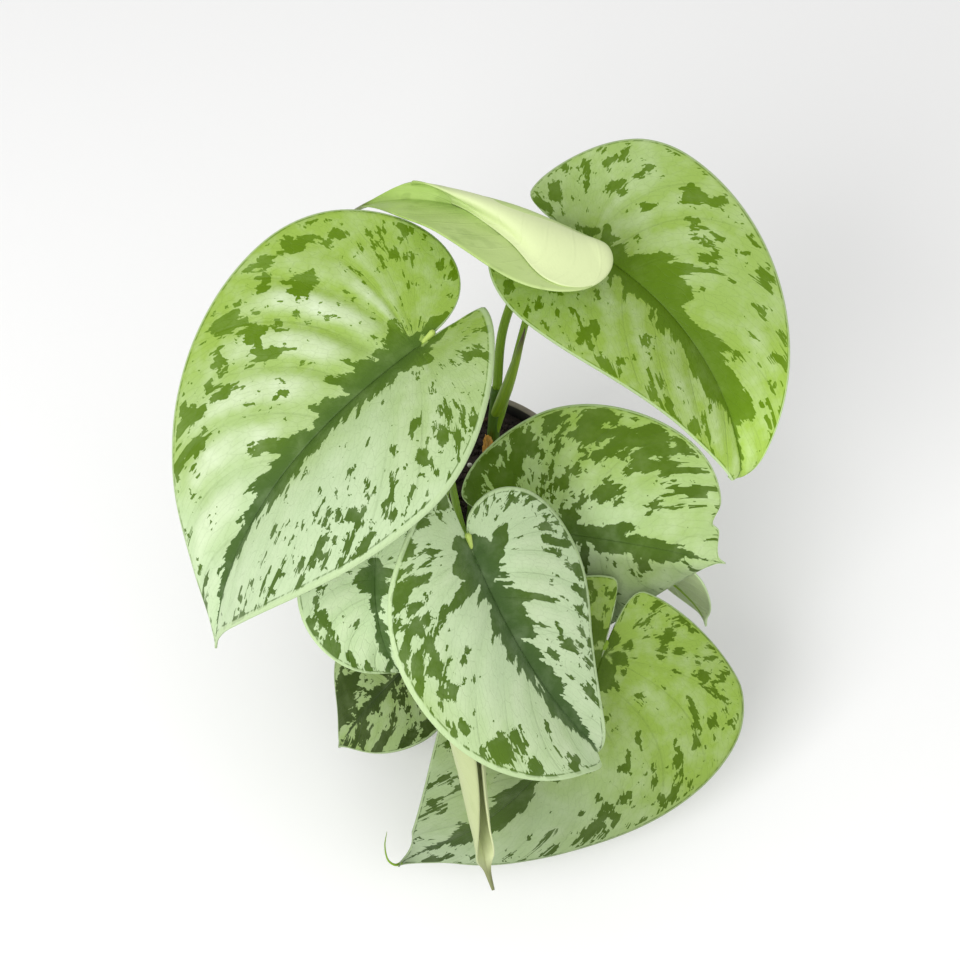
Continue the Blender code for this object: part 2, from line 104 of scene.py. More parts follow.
# blade shape, as in the solids: half width of the notch, how the rows fan out from the rib, and
# the share of the length from which the tip bends
NOTCH_HALF = 0.0008
FAN_FOOT = 0.007
FAN_START = 0.38
FAN_POWER = 1.15
TIP_START = 0.86
# rib and stalk: radii, the share of the length where the rib is thinner, and where it ends
RIB_RADIUS = 0.0013
RIB_END_RADIUS = 0.0005
STALK_FOOT_RADIUS = 0.0021
RIB_REACH = 0.58
RIB_SHOWN = 0.94

# finer ends: the stalk's pale end in the notch, and the thread at a blade's tip
NUB_RADIUS = 0.00125
DRIP_RADII = (0.0007, 0.0005, 0.00028, 0.0001)

# lateral veins sweep towards the tip on their way out, by this share of the margin; the sweep grows,
# and then loses a part of itself, over these shares of the margin
VEIN_SWEEP = 0.17
SWEEP_GROWS = (0.05, 0.55)
SWEEP_LOSES = (0.65, 1.0)
SWEEP_LOSS = 0.75
# usual length of a half's margin where the blotches lie, for each metre of rib
MARGIN_RUN = 1.35
# how much the blotches vary from place to place, and how few specks lie between them
PATCHES = 0.14
SPECKS = -0.16

# young leaves: shade in the open fold, and the drying tip
FOLD_SHADE = (0.09, 0.09, 0.03)
YOUNG_TIP = (0.12, 0.13, 0.03)
# rolled half of the youngest leaf: its grid, where it starts to lie down, how far it stands off and
# bulges, and the seam that it reaches on the other half
FLAP_ROWS = 110
FLAP_COLUMNS = 44
FLAP_START = 0.0100
FLAP_LIFT = 0.0008
FLAP_BULGE = 0.006
FLAP_SEAM = ((0.0080, -0.0185), (0.0145, -0.0198), (0.0205, -0.0175), (0.0248, -0.0105),
             (0.0252, -0.0030), (0.0225, 0.0035), (0.0180, 0.0100), (0.0141, 0.0159), (0.0100, 0.0245),
             (0.0065, 0.0327), (0.0030, 0.0410), (0.0006, 0.0490))

# stage: what the camera and the lights aim at, where the lights stand, how wide they are, and half
# the floor's width
CAMERA_AIM = (0.0082, 0.0, 0.093)
LIGHT_AIM = (0.008, -0.02, 0.13)
KEY_PLACE = (-0.62, -0.90, 0.90)
KEY_SIZE = 0.8
FILL_PLACE = (0.80, -0.55, 0.70)
FILL_SIZE = 0.9
FLOOR_HALF = 4.0


@dataclass
class Half:
    """One half of a blade, from the rib to its margin."""
    width: float
    lobe: float
    lobe_at: float = 0.42  # how far out the lobe ends, as a share of the width
    widest_at: float = 0.22  # as a share of the length
    fullness: float = 0.40
    fold: float = 8  # degrees by which the half rises at the rib
    curl: float = 12  # degrees by which it bends down again to the margin
    shut: float = 0  # degrees added to the fold towards the tip
    notch_at: float = 0.0
    notch_depth: float = 0.0


@dataclass
class Look:
    """How a blade is coloured: shares of 0 to 1, and gradients across and along it, some of which paint light
    and shade onto the blade.
    """
    seed: float
    # brightness of the whole blade: painted light above 1, painted shade below 1
    tone: float = 1.0
    # painted shade across the blade and along part of its length; negative values paint light
    painted_shade_across: float = 0.0
    painted_shade_along: float = 0.0
    painted_shade_span: tuple = (0.05, 0.55)
    fresh: float = 0.3
    # fresher yellow-green against cool silver across and along the blade, partly painted light: a glow where
    # light shines through, a cool reflection, a paler half
    fresh_and_painted_light_across: float = 0.0
    fresh_and_painted_light_along: float = 0.0
    contrast: float = 1.0  # of a young leaf's blotches
    depth: float = 1.0  # brightness of the greens, lowered as painted shade on blades lying in shadow
    blotch: float = -0.06  # amount of blotches
    blotch_edge: float = 0.08
    blotch_across: float = 0.0
    blotch_along: float = 0.0
    scale: float = 155.0
    drawn: float = 0.6  # how far the blotches are drawn out along the veins
    squeeze: float = 0.85
    grain: float = 0.0014  # size of the ragged cells
    band: float = 0.008  # width of the green band along the rib
    deep: float = 0.5  # how deep the green is there
    laterals: float = 12
    quilt: float = 0.0006  # height of the pleats between the laterals
    calm: float = 1.0  # share of the pleats and of the painted highlights on the ridges on the left half
    ridge_highlight: float = 0.35  # strength of the painted highlight on the ridges
    margin: float = 0.0007  # width of the pale line along the margin
    margin_left: float = 0.0007
    young: bool = False
    rolled: bool = False
    open_fold: bool = False
    pale: tuple = (0.68, 0.80, 0.40)
    lime: tuple = (0.33, 0.50, 0.09)


@dataclass
class Leaf:
    """A blade with its rib and stalk.  Angles are in degrees."""
    name: str
    base: tuple
    heading: float
    pitch: float
    roll: float
    length: float
    right: Half
    left: Half
    stem: str
    foot: float
    look: Look
    droop: float = 0
    sway: float = 0
    twist: float = 0
    tip: float = 0
    knee: float = 0.014  # the stalk's first and last bends, and the points it passes between
    rise: float = -0.012
    arch: float = 0.030
    away: tuple = (0.0, 0.0)
    via: tuple = ()
    slit: float = 0.0036  # half width of the notch between the lobes
    hook: float = 0.004  # length of the tip beyond the rib
    thread: float = 0.0  # how far that tip is thinned
    nub: bool = False
    drip: tuple = ()


@dataclass
class Stem:
    """A rooted stem: its foot in the soil, its top and its thickness."""
    name: str
    x: float
    y: float
    lean_x: float
    lean_y: float
    top: float
    radius: float = 0.0030


STEMS = {
    "a": Stem("stem_a", x=0.0135, y=0.008, lean_x=0.002, lean_y=0.001, top=0.150),
    "b": Stem("stem_b", x=-0.0120, y=-0.002, lean_x=-0.003, lean_y=-0.004, top=0.136),
    "c": Stem("stem_c", x=0.0050, y=-0.020, lean_x=0.002, lean_y=-0.006, top=0.128),
}

LEAVES = [
    Leaf("leaf_01", base=(-0.011, -0.0225, 0.220), heading=213, pitch=-17, roll=17, length=0.160,
         droop=59, sway=2, tip=-4, stem="b", foot=0.134, away=(-0.002, 0.004), slit=0.0008, nub=True,
         right=Half(width=0.074, lobe=0.027, lobe_at=0.37, widest_at=0.16, fold=21, curl=-23),
         left=Half(width=0.071, lobe=0.0235, lobe_at=0.08, widest_at=0.25, fullness=0.42, fold=16, curl=39),
         look=Look(seed=1.0, fresh=0.45, fresh_and_painted_light_across=0.55, fresh_and_painted_light_along=-1.0, blotch=-0.088, calm=0.3,
                   band=0.0215, deep=0.55, ridge_highlight=0.75, margin=0.0006, margin_left=0.0026, quilt=0.0018)),
    Leaf("leaf_02", base=(0.0405, 0.006, 0.2422), heading=153, pitch=5, roll=13, length=0.099,
         droop=46.5, sway=13, stem="a", foot=0.149, knee=0.004,
         right=Half(width=0.014, lobe=0.012, widest_at=0.11, fullness=0.43, fold=27, curl=-200),
         left=Half(width=0.0315, lobe=0.020, lobe_at=0.46, widest_at=0.055, fullness=0.26, fold=0, curl=2),
         via=((0.0475, 0.0045, 0.2365), (0.0460, 0.0140, 0.2325), (0.0395, 0.0260, 0.2295),
              (0.0345, 0.0325, 0.2240), (0.0280, 0.0310, 0.205), (0.0180, 0.0200, 0.176)),
         look=Look(seed=2.0, fresh=0.45, fresh_and_painted_light_across=-0.15, fresh_and_painted_light_along=0.9, contrast=0.8, quilt=0.0001,
                   laterals=13, young=True, pale=(0.67, 0.76, 0.40), rolled=True)),
    Leaf("leaf_03", base=(0.0455, 0.0235, 0.2255), heading=-40, pitch=3, roll=-1, length=0.1335,
         droop=85, sway=22, twist=-4, tip=45, stem="a", foot=0.116, knee=0.020, arch=0.056,
         away=(0.011, -0.003),
         right=Half(width=0.049, lobe=0.0235, lobe_at=0.37, widest_at=0.14, fullness=0.36, fold=15, curl=25),
         left=Half(width=0.052, lobe=0.029, lobe_at=0.20, widest_at=0.13, fullness=0.39, fold=27, curl=-3),
         look=Look(seed=3.5, tone=0.97, painted_shade_along=-0.40, painted_shade_span=(0.50, 0.90), fresh=0.95, fresh_and_painted_light_across=0.15,
                   fresh_and_painted_light_along=0.35, blotch=-0.100, band=0.0200, deep=0.10, ridge_highlight=0.20, margin=0.0008,
                   quilt=0.0012)),
    Leaf("leaf_04", base=(0.0285, -0.0475, 0.1255), heading=-7, pitch=-4, roll=17, length=0.0885,
         droop=36, sway=-5, twist=20, tip=-9, stem="c", foot=0.110, thread=0.35,
         right=Half(width=0.051, lobe=0.026, widest_at=0.21, fold=-27, curl=15),
         left=Half(width=0.059, lobe=0.030, lobe_at=0.20, widest_at=0.32, fullness=0.51, fold=28, curl=-12,
                   notch_at=0.872, notch_depth=0.0042),
         look=Look(seed=4.0, tone=1.12, painted_shade_across=0.40, fresh=0.48, fresh_and_painted_light_across=-0.3, depth=0.78,
                   blotch=-0.060, blotch_edge=0.06, blotch_across=-0.035, blotch_along=-0.10, scale=150.0,
                   drawn=0.8, squeeze=0.6, grain=0.0012, band=0.0135, deep=0.25, ridge_highlight=0.10, margin=0.0006,
                   quilt=0.0005)),
    Leaf("leaf_05", base=(0.0035, -0.0835, 0.1715), heading=-60, pitch=-44, roll=-20, length=0.1205,
         droop=6, sway=-32, twist=-9, tip=67, stem="b", foot=0.124, knee=0.018, rise=-0.010,
         away=(0.008, -0.004), slit=0.0006, nub=True,
         right=Half(width=0.055, lobe=0.026, lobe_at=0.14, widest_at=0.26, fullness=0.46, fold=26, curl=56),
         left=Half(width=0.050, lobe=0.013, lobe_at=0.34, fold=12, curl=24),
         look=Look(seed=5.0, tone=1.12, fresh=0.12, fresh_and_painted_light_across=0.25, blotch=-0.092, blotch_edge=0.14,
                   squeeze=0.8, grain=0.0010, band=0.0215, deep=0.7, margin=0.0021, margin_left=0.0019,
                   quilt=0.0005)),
    Leaf("leaf_06", base=(-0.0355, -0.0565, 0.1205), heading=-97, pitch=-42, roll=7, length=0.063,
         droop=51, sway=-23, twist=-5, tip=7, stem="b", foot=0.108, knee=0.016, rise=0.006, arch=0.024,
         away=(-0.008, -0.006),
         right=Half(width=0.033, lobe=0.016, widest_at=0.27, fullness=0.42, fold=15, curl=1),
         left=Half(width=0.0325, lobe=0.016, fold=12, curl=4),
         look=Look(seed=6.0, tone=1.2, fresh=0.10, blotch=-0.065, grain=0.0009, band=0.0110, deep=0.6,
                   ridge_highlight=0.4, margin=0.0014, margin_left=0.0016, quilt=0.0004, laterals=10)),
    Leaf("leaf_07", base=(-0.0205, -0.073, 0.0565), heading=215, pitch=-24, roll=3, length=0.0575,
         droop=36, twist=6, tip=1, stem="b", foot=0.099, knee=0.004, rise=0.058, arch=0.016,
         away=(-0.002, -0.012), hook=0.0,
         right=Half(width=0.0355, lobe=0.010, fold=4, curl=4),
         left=Half(width=0.034, lobe=0.010, widest_at=0.24, fullness=0.41, fold=7, curl=7),
         look=Look(seed=7.0, tone=0.57, painted_shade_along=-0.25, fresh=0.60, depth=0.45, blotch=-0.002,
                   blotch_edge=0.04, grain=0.0009, band=0.0080, deep=0.2, ridge_highlight=0.1, quilt=0.0003,
                   laterals=10)),
    Leaf("leaf_08", base=(0.062, -0.0845, 0.0935), heading=-110, pitch=-28, roll=-23, length=0.145,
         droop=53, sway=51, twist=-27, tip=-119, stem="c", foot=0.096, knee=0.0, rise=-0.052, arch=0.024,
         away=(0.023, -0.016), hook=0.002, thread=0.4, slit=0.0006,
         right=Half(width=0.0605, lobe=0.027, lobe_at=0.10, fold=10, curl=11),
         left=Half(width=0.074, lobe=0.0255, lobe_at=0.14, widest_at=0.13, fullness=0.26, fold=-7, curl=-9),
         drip=((-0.0022, -0.0004, 0.0012), (-0.0052, 0.0012, 0.0036), (-0.0064, 0.0062, 0.0066),
               (-0.0056, 0.0118, 0.0086)),
         look=Look(seed=8.0, tone=0.92, painted_shade_along=0.28, fresh=0.65, fresh_and_painted_light_along=-1.1, depth=0.80,
                   blotch=-0.082, band=0.0195, deep=0.15, ridge_highlight=0.10, margin=0.0008, quilt=0.0010)),
    Leaf("leaf_09", base=(-0.0045, -0.105, 0.132), heading=-81, pitch=-43, roll=-6, length=0.105,
         droop=14, sway=-8, tip=-20, stem="b", foot=0.116, rise=0.010, arch=0.026, away=(0.010, -0.010),
         hook=0.006, thread=0.75,
         right=Half(width=0.026, lobe=0.008, fullness=0.46, fold=26, curl=-138, shut=16),
         left=Half(width=0.022, lobe=0.008, fullness=0.46, fold=16, curl=-124, shut=22),
         look=Look(seed=9.0, fresh=0.5, fresh_and_painted_light_across=1.0, quilt=0.0002, laterals=14, contrast=0.2, young=True,
                   pale=(0.60, 0.66, 0.35), lime=(0.42, 0.48, 0.23), open_fold=True)),
    Leaf("leaf_10", base=(0.0705, -0.030, 0.084), heading=-25, pitch=-16, roll=-72, length=0.060,
         droop=10, sway=-50, tip=10, stem="a", foot=0.102, knee=0.008, rise=0.024, arch=0.016, thread=0.4,
         right=Half(width=0.028, lobe=0.012, fullness=0.28),
         left=Half(width=0.024, lobe=0.012, fullness=0.28),
         look=Look(seed=10.0, tone=1.15, blotch=-0.03, blotch_edge=0.10, band=0.005, grain=0.0009,
                   quilt=0.0002)),
]


def distance(name, description, default, low=0.0):
    """A length that a user can change."""
    return bpy.props.FloatProperty(name=name, description=description, default=default, min=low,
                                   subtype="DISTANCE", unit="LENGTH", precision=5)


def amount(name, description, default, high=1.0):
    """A share or strength that a user can change."""
    return bpy.props.FloatProperty(name=name, description=description, default=default, min=0.0, max=high)


def count(name, description, default):
    """A whole number that a user can change."""
    return bpy.props.IntProperty(name=name, description=description, default=default, min=1)


def colour(name, description, default):
    """A colour that a user can change."""
    return bpy.props.FloatVectorProperty(name=name, description=description, default=default, size=3,
                                         min=0.0, max=1.0, subtype="COLOR")


class PothosLeafSettings(bpy.types.PropertyGroup):
    """Sizes and colours of the blades."""
    thickness: distance("Thickness", "Thickness of a blade", 0.0007)
    wave: distance("Margin wave", "How far the margin waves up and down", 0.0009)
    rows: count("Rows", "Faces along the margin of each half", 130)
    columns: count("Columns", "Faces from the rib to the margin", 34)
    silver: colour("Silver", "The silvery areas where they are cool", (0.47, 0.60, 0.355))
    # also the colour of the painted highlight on the ridges
    pale: colour("Pale silver", "The ridges and the palest areas", (0.60, 0.70, 0.47))
    fresh: colour("Fresh", "The light areas on fresh yellow-green parts", (0.275, 0.415, 0.065))
    green: colour("Green", "The blotches on silvery parts", (0.066, 0.126, 0.016))
    bright: colour("Bright green", "The blotches on fresh parts", (0.100, 0.192, 0.002))
    deep: colour("Deep green", "The band along the rib", (0.044, 0.092, 0.026))
    rim: colour("Margin", "The line along the margin", (0.45, 0.58, 0.31))
    under: colour("Underside", "The underside of the blades", (0.42, 0.52, 0.26))


class PothosStemSettings(bpy.types.PropertyGroup):
    """Sizes and colours of the stalks, stems, furled leaf and husk."""
    sides: count("Sides", "Faces round a stalk or stem", 24)
    channel: amount("Channel", "Depth of the groove along a stalk, as a share of its radius", 0.30)
    stalk: colour("Stalk", "The leaf stalks", (0.20, 0.34, 0.020))
    stalk_end: colour("Stalk end", "The pale ends of stalks in the notches", (0.42, 0.55, 0.12))
    stem: colour("Stem", "The rooted stems", (0.075, 0.150, 0.018))
    spear: colour("Furled leaf", "The furled leaf", (0.19, 0.30, 0.008))
    spear_tip: colour("Furled tip", "The brown tip of the furled leaf", (0.075, 0.06, 0.025))
    husk: colour("Husk", "The dry husk", (0.90, 0.44, 0.09))
    husk_pale: colour("Pale husk", "The paler patches of the dry husk", (0.72, 0.46, 0.20))


class PothosSoilSettings(bpy.types.PropertyGroup):
    """What the soil is made of."""
    crumbs: count("Crumbs", "Number of crumbs on the soil", 1500)
    perlite: count("Perlite", "Number of white grains", 40)
    bark: count("Bark", "Number of bark chips", 110)
    seed: count("Seed", "Seed of the scattering", 7)
    dark: colour("Soil", "The damp soil", (0.009, 0.005, 0.004))
    light: colour("Dry soil", "The drier crumbs", (0.040, 0.022, 0.016))


class PothosPotSettings(bpy.types.PropertyGroup):
    """Finish of the pot."""
    steps: count("Steps", "Faces round the pot", 192)
    plastic: colour("Plastic", "The pot's plastic", (0.014, 0.013, 0.014))
    # also the colour of the painted highlight along the top of the lip
    dust_and_lip_sheen: colour("Dust", "Dust and dried soil on the pot", (0.26, 0.23, 0.18))


class PothosStageSettings(bpy.types.PropertyGroup):
    """Floor, lights and camera."""
    floor: colour("Floor", "The pale floor", (0.97, 0.97, 0.965))
    key: amount("Key light", "Power of the main soft light in watts", 11.5, 200.0)
    fill: amount("Fill light", "Power of the second soft light in watts", 1.0, 200.0)
    sky: amount("Surroundings", "Strength of the even light from all round", 0.72, 10.0)
    lens: bpy.props.FloatProperty(name="Lens", description="Focal length", default=60.0, unit="CAMERA")
    elevation: amount("Elevation", "Degrees by which the camera looks down", 55.0, 90.0)
    reach: distance("Distance", "Camera distance from the middle of the plant", 0.73)


def math_node(operation, turned=False):
    """A method that works out one operation of the Math node."""
    def method(value, *others):
        values = (*others, value) if turned else (value, *others)
        return value.shader.node("ShaderNodeMath", {"operation": operation}, dict(enumerate(values)))
    return method


class Value:
    """One output in a material's nodes, used as a value in expressions."""

    def __init__(self, shader, socket):
        self.shader = shader
        self.socket = socket

    __add__ = math_node("ADD")
    __radd__ = math_node("ADD", turned=True)
    __sub__ = math_node("SUBTRACT")
    __rsub__ = math_node("SUBTRACT", turned=True)
    __mul__ = math_node("MULTIPLY")
    __rmul__ = math_node("MULTIPLY", turned=True)
    __truediv__ = math_node("DIVIDE")
    __rtruediv__ = math_node("DIVIDE", turned=True)
    __pow__ = math_node("POWER")
    __abs__ = math_node("ABSOLUTE")
    most = math_node("MAXIMUM")
    least = math_node("MINIMUM")
    fraction = math_node("FRACT")

    def step(self, low, high):
        """0 below low, 1 above high and smooth between; low above high turns it over."""
        settings = {"interpolation_type": "SMOOTHSTEP"}
        if isinstance(low, (int, float)) and isinstance(high, (int, float)) and low > high:
            return 1.0 - self.step(high, low)
        return self.shader.node("ShaderNodeMapRange", settings, {0: self, 1: low, 2: high})


class Shader:
    """A material and the expressions that feed its Principled shader."""

    def __init__(self, name):
        self.material = bpy.data.materials.new(name)
        self.material.use_nodes = True
        self.tree = self.material.node_tree
        self.principled = self.tree.nodes["Principled BSDF"]

    def feed(self, socket, value):
        if isinstance(value, Value):
            self.tree.links.new(value.socket, socket)
        elif isinstance(value, (int, float)):
            socket.default_value = value
        else:
            value = tuple(value)
            socket.default_value = value + (1.0,) * (len(socket.default_value) - len(value))

    def node(self, kind, settings=None, sockets=None, output=0):
        node = self.tree.nodes.new(kind)
        for key, value in (settings or {}).items():
            setattr(node, key, value)
        for key, value in (sockets or {}).items():
            self.feed(node.inputs[key], value)
        return Value(self, node.outputs[output])

    def uv(self, name):
        """The two coordinates of a UV map."""
        return self.split(self.node("ShaderNodeUVMap", {"uv_map": name}))[:2]

    def place(self):
        """The point on the object, in metres."""
        return self.node("ShaderNodeTexCoord", None, None, "Object")

    def vector(self, x, y, z=0.0):
        return self.node("ShaderNodeCombineXYZ", None, {0: x, 1: y, 2: z})

    def split(self, vector):
        """The three parts of a vector."""
        return [self.node("ShaderNodeSeparateXYZ", None, {0: vector}, k) for k in range(3)]

    def shift(self, vector, offset, scale):
        """vector plus offset times scale."""
        settings = {"operation": "MULTIPLY_ADD"}
        return self.node("ShaderNodeVectorMath", settings, {0: offset, 1: (scale,) * 3, 2: vector})

    def stretched(self, vector, x, y, z):
        """vector with each of its parts scaled."""
        return self.node("ShaderNodeVectorMath", {"operation": "MULTIPLY"}, {0: vector, 1: (x, y, z)})

    def noise(self, vector, scale, detail=3.0, rough=0.5, output=0):
        sockets = {"Vector": vector, "Scale": scale, "Detail": detail, "Roughness": rough}
        return self.node("ShaderNodeTexNoise", None, sockets, output)

    def cells(self, vector, scale=1.0, feature="F1", output="Distance", dimensions="2D"):
        settings = {"feature": feature, "voronoi_dimensions": dimensions}
        return self.node("ShaderNodeTexVoronoi", settings, {"Vector": vector, "Scale": scale}, output)

    def mix(self, factor, first, second):
        """Two colours mixed by a factor."""
        return self.node("ShaderNodeMix", {"data_type": "RGBA"}, {0: factor, 6: first, 7: second}, 2)

    def scaled(self, tint, factor):
        return self.node("ShaderNodeVectorMath", {"operation": "SCALE"}, {0: tint, 3: factor})

    def bump(self, height, distance, strength=1.0):
        sockets = {"Height": height, "Distance": distance, "Strength": strength}
        return self.node("ShaderNodeBump", None, sockets)

    def surface(self, **sockets):
        for key, value in sockets.items():
            self.feed(self.principled.inputs[key.replace("_", " ")], value)
        return self.material


def darker(tint, share):
    return [c * share for c in tint]


def blend(p0, p1, p2, p3, t):
    """Point at share t of a cubic curve from p0 to p3, pulled by p1 and p2."""
    return (1 - t) ** 3 * p0 + 3 * t * (1 - t) ** 2 * p1 + 3 * t * t * (1 - t) * p2 + t ** 3 * p3


def bezier(p0, p1, p2, p3, steps):
    return blend(*(np.asarray(p, float) for p in (p0, p1, p2, p3)), np.linspace(0.0, 1.0, steps)[:, None])


def through(points, steps):
    """Smooth curve through points, its samples spread evenly over the spans."""
    points = np.array(points, float)
    row = np.vstack([2 * points[0] - points[1], points, 2 * points[-1] - points[-2]])
    place = np.linspace(0.0, len(points) - 1, steps)
    span = np.minimum(place.astype(int), len(points) - 2)
    t = (place - span)[:, None]
    a, b, c, d = (row[span + k] for k in range(4))
    curve = (2 * a - 5 * b + 4 * c - d) * t ** 2 + (3 * b - a - 3 * c + d) * t ** 3
    return 0.5 * (2 * b + (c - a) * t + curve)


def smooth(value, low, high):
    """0 below low, 1 above high and smooth between."""
    t = np.clip((value - low) / (high - low), 0.0, 1.0)
    return t * t * (3 - 2 * t)


def grain(points, scale, seed):
    """Smooth noise from -1 to 1 at an array of points."""
    flat = np.reshape(points, (-1, np.shape(points)[-1]))
    flat = np.column_stack([flat, np.zeros((len(flat), 3 - flat.shape[1]))]) * scale + seed
    values = [noise.noise(Vector(p)) for p in flat]
    return np.reshape(values, np.shape(points)[:-1])


def margin(leaf, half, rows):
    """Flat margin of one half: the middle of the notch, its corner, then evenly on to the drip tip."""
    length = leaf.length
    back = np.array([half.lobe_at * half.width, -half.lobe])
    wide = np.array([half.width, half.widest_at * length])
    tip = np.array([0.0, length + leaf.hook])
    slit = NOTCH_HALF + leaf.slit
    inner = bezier((NOTCH_HALF, 0), (slit, -0.62 * half.lobe),
                   back - (0.6 * half.lobe_at * half.width, 0), back, 60)
    outer = bezier(back, back + (0.28 * half.width, 0),
                   wide - (0, 0.56 * (wide[1] + half.lobe)), wide, 60)
    front = bezier(wide, wide + (0, half.fullness * length),
                   tip + (0.05 * half.width, -0.10 * length - leaf.hook), tip, 120)
    line = np.vstack([inner, outer[1:], front[1:]])
    line[:, 0] *= 1 - leaf.thread * smooth(line[:, 1], 0.90 * length, length + 0.2 * leaf.hook)
    run = np.concatenate([[0.0], np.cumsum(np.linalg.norm(np.diff(line, axis=0), axis=1))])
    share = run / run[-1]
    if half.notch_depth:
        bite = half.notch_depth * np.exp(-((share - half.notch_at) / 0.022) ** 2)
        line = line - bite[:, None] * np.array([0.8, 0.6])
    even = np.linspace(0.0, 1.0, rows)
    edge = np.stack([np.interp(even, share, line[:, 0]), np.interp(even, share, line[:, 1])], axis=1)
    return np.vstack([(0.0, 0.0), edge])


class Rib:
    """The bent rib of a leaf: points along it with the directions of the blade there."""

    def __init__(self, leaf, steps=400):
        heading, pitch, roll = (math.radians(a) for a in (leaf.heading, leaf.pitch, leaf.roll))
        forward = np.array([math.cos(pitch) * math.cos(heading), math.cos(pitch) * math.sin(heading),
                            math.sin(pitch)])
        level = np.cross(forward, [0, 0, 1])
        level /= np.linalg.norm(level)
        upper = np.cross(level, forward)
        right = level * math.cos(roll) - upper * math.sin(roll)
        normal = upper * math.cos(roll) + level * math.sin(roll)
        axes = np.stack([right, forward, normal])

        self.run = np.linspace(0.0, leaf.length + leaf.hook, steps)
        share = self.run / leaf.length
        curl_in = np.clip((share - TIP_START) / (1 - TIP_START), 0, 2) ** 1.5
        droop = np.radians(leaf.droop) * share ** 1.4 + np.radians(leaf.tip) * curl_in
        sway = np.radians(leaf.sway) * share ** 1.2
        twist = np.radians(leaf.twist) * share
        ahead = np.stack([np.sin(sway) * np.cos(droop), np.cos(sway) * np.cos(droop), -np.sin(droop)], 1)
        across = np.stack([np.cos(sway), -np.sin(sway), 0 * sway], 1)
        above = np.cross(across, ahead)
        turn, rest = np.sin(twist)[:, None], np.cos(twist)[:, None]
        step = self.run[1]
        middle = (ahead[1:] + ahead[:-1]) / 2 * step
        path = np.vstack([np.zeros(3), np.cumsum(middle, axis=0)])
        self.point = path @ axes + np.array(leaf.base)
        self.ahead = ahead @ axes
        self.across = (across * rest - above * turn) @ axes
        self.above = (above * rest + across * turn) @ axes

    def at(self, distance):
        """Point, ahead, across and above at distances along the rib."""
        flat = np.clip(np.ravel(distance), 0, self.run[-1])
        shape = np.shape(distance) + (3,)
        return [np.stack([np.interp(flat, self.run, values[:, k]) for k in range(3)], 1).reshape(shape)
                for values in (self.point, self.ahead, self.across, self.above)]


def vein_place(share, out):
    """Which lateral vein a point lies on, as a share of the margin."""
    sweep = VEIN_SWEEP * smooth(share, *SWEEP_GROWS) * (1 - SWEEP_LOSS * smooth(share, *SWEEP_LOSES))
    return share + sweep * (1 - out * (0.4 + 0.6 * out))


def relief(leaf, settings, side, share, out, flat):
    """Height of the quilting between the veins, the waved margin and the groove over the rib."""
    look = leaf.look
    phase = look.laterals * vein_place(share, out)
    quilt = np.abs(np.sin(math.pi * phase)) ** 0.8 - 0.6
    held = smooth(out, 0.03, 0.22) * (1 - smooth(out, 0.72, 0.97)) * (0.1 + 0.9 * smooth(share, 0.28, 0.52))
    held = held * (1 - 0.7 * smooth(share, 0.75, 1.0))
    held = held * np.clip(0.85 + 1.3 * grain(flat, 22.0, look.seed), 0.1, 1.5)
    height = look.quilt * quilt * held * (1.0 if side > 0 else look.calm)
    height += settings.wave * out ** 3 * np.sin(2 * math.pi * (2.6 * share + 0.37 * look.seed))
    height += 0.0006 * grain(flat, 45.0, 7.3 * look.seed) * smooth(out, 0.0, 0.4)
    height += 0.00025 * grain(flat, 190.0, 3.1 * look.seed) * held
    groove = 0.0002 * np.exp(-(flat[..., 0] / 0.0016) ** 2) * smooth(flat[..., 1], -0.001, 0.004)
    return height - groove


def surface_at(leaf, half, side, x, y):
    """Points and outward normals of one half's bent surface at flat coordinates."""
    point, ahead, across, above = Rib(leaf).at(y)
    point = point + np.minimum(y, 0)[..., None] * ahead
    shut = smooth(y, 0.25 * leaf.length, 0.80 * leaf.length)
    fold = math.radians(half.fold) + math.radians(half.shut) * shut
    bend = math.radians(half.curl) / half.width
    lean = fold - bend * x
    over = (np.sin(fold) - np.sin(lean)) / bend
    up = (np.cos(lean) - np.cos(fold)) / bend
    point = point + side * over[..., None] * across + up[..., None] * above
    normal = np.cos(lean)[..., None] * above - side * np.sin(lean)[..., None] * across
    return point, normal


def half_grid(leaf, half, side, settings):
    """Points of one half, rib to margin along each row, with their leaf coordinates."""
    rows, columns = settings.rows, settings.columns
    edge = margin(leaf, half, rows)
    share = np.linspace(0.0, 1.0, rows + 1)
    fan = np.clip((share - FAN_START) / (1 - FAN_START), 0, 1) ** FAN_POWER
    start = np.zeros_like(edge)
    start[:, 1] = FAN_FOOT + (leaf.length + leaf.hook - FAN_FOOT) * fan
    out = np.linspace(0.0, 1.0, columns + 1) ** 1.2
    flat = start[:, None, :] + out[None, :, None] * (edge - start)[:, None, :]
    reach = np.linalg.norm(edge - start, axis=1)[:, None]
    point, normal = surface_at(leaf, half, side, flat[..., 0], flat[..., 1])
    shares = np.broadcast_to(share[:, None], flat.shape[:2])
    outs = np.broadcast_to(out[None, :], flat.shape[:2])
    height = relief(leaf, settings, side, shares, outs, flat)
    point = point + height[..., None] * normal
    return point.reshape(-1, 3), leaf_layers(flat * (side, 1), shares, outs, (1 - outs) * reach, outs * reach)


def leaf_layers(flat, shares, outs, rim, run):
    """Leaf coordinates as UV values; lengths are in decimetres, to stay near 0 to 1."""
    vein, rim = (np.stack(pair, axis=-1) for pair in ((shares, outs), (rim, run)))
    return {name: v.reshape(-1, 2) for name, v in (("flat", flat * 10), ("vein", vein), ("rim", rim * 10))}


def new_object(name, data):
    obj = bpy.data.objects.new(name, data)
    bpy.context.scene.collection.objects.link(obj)
    return obj


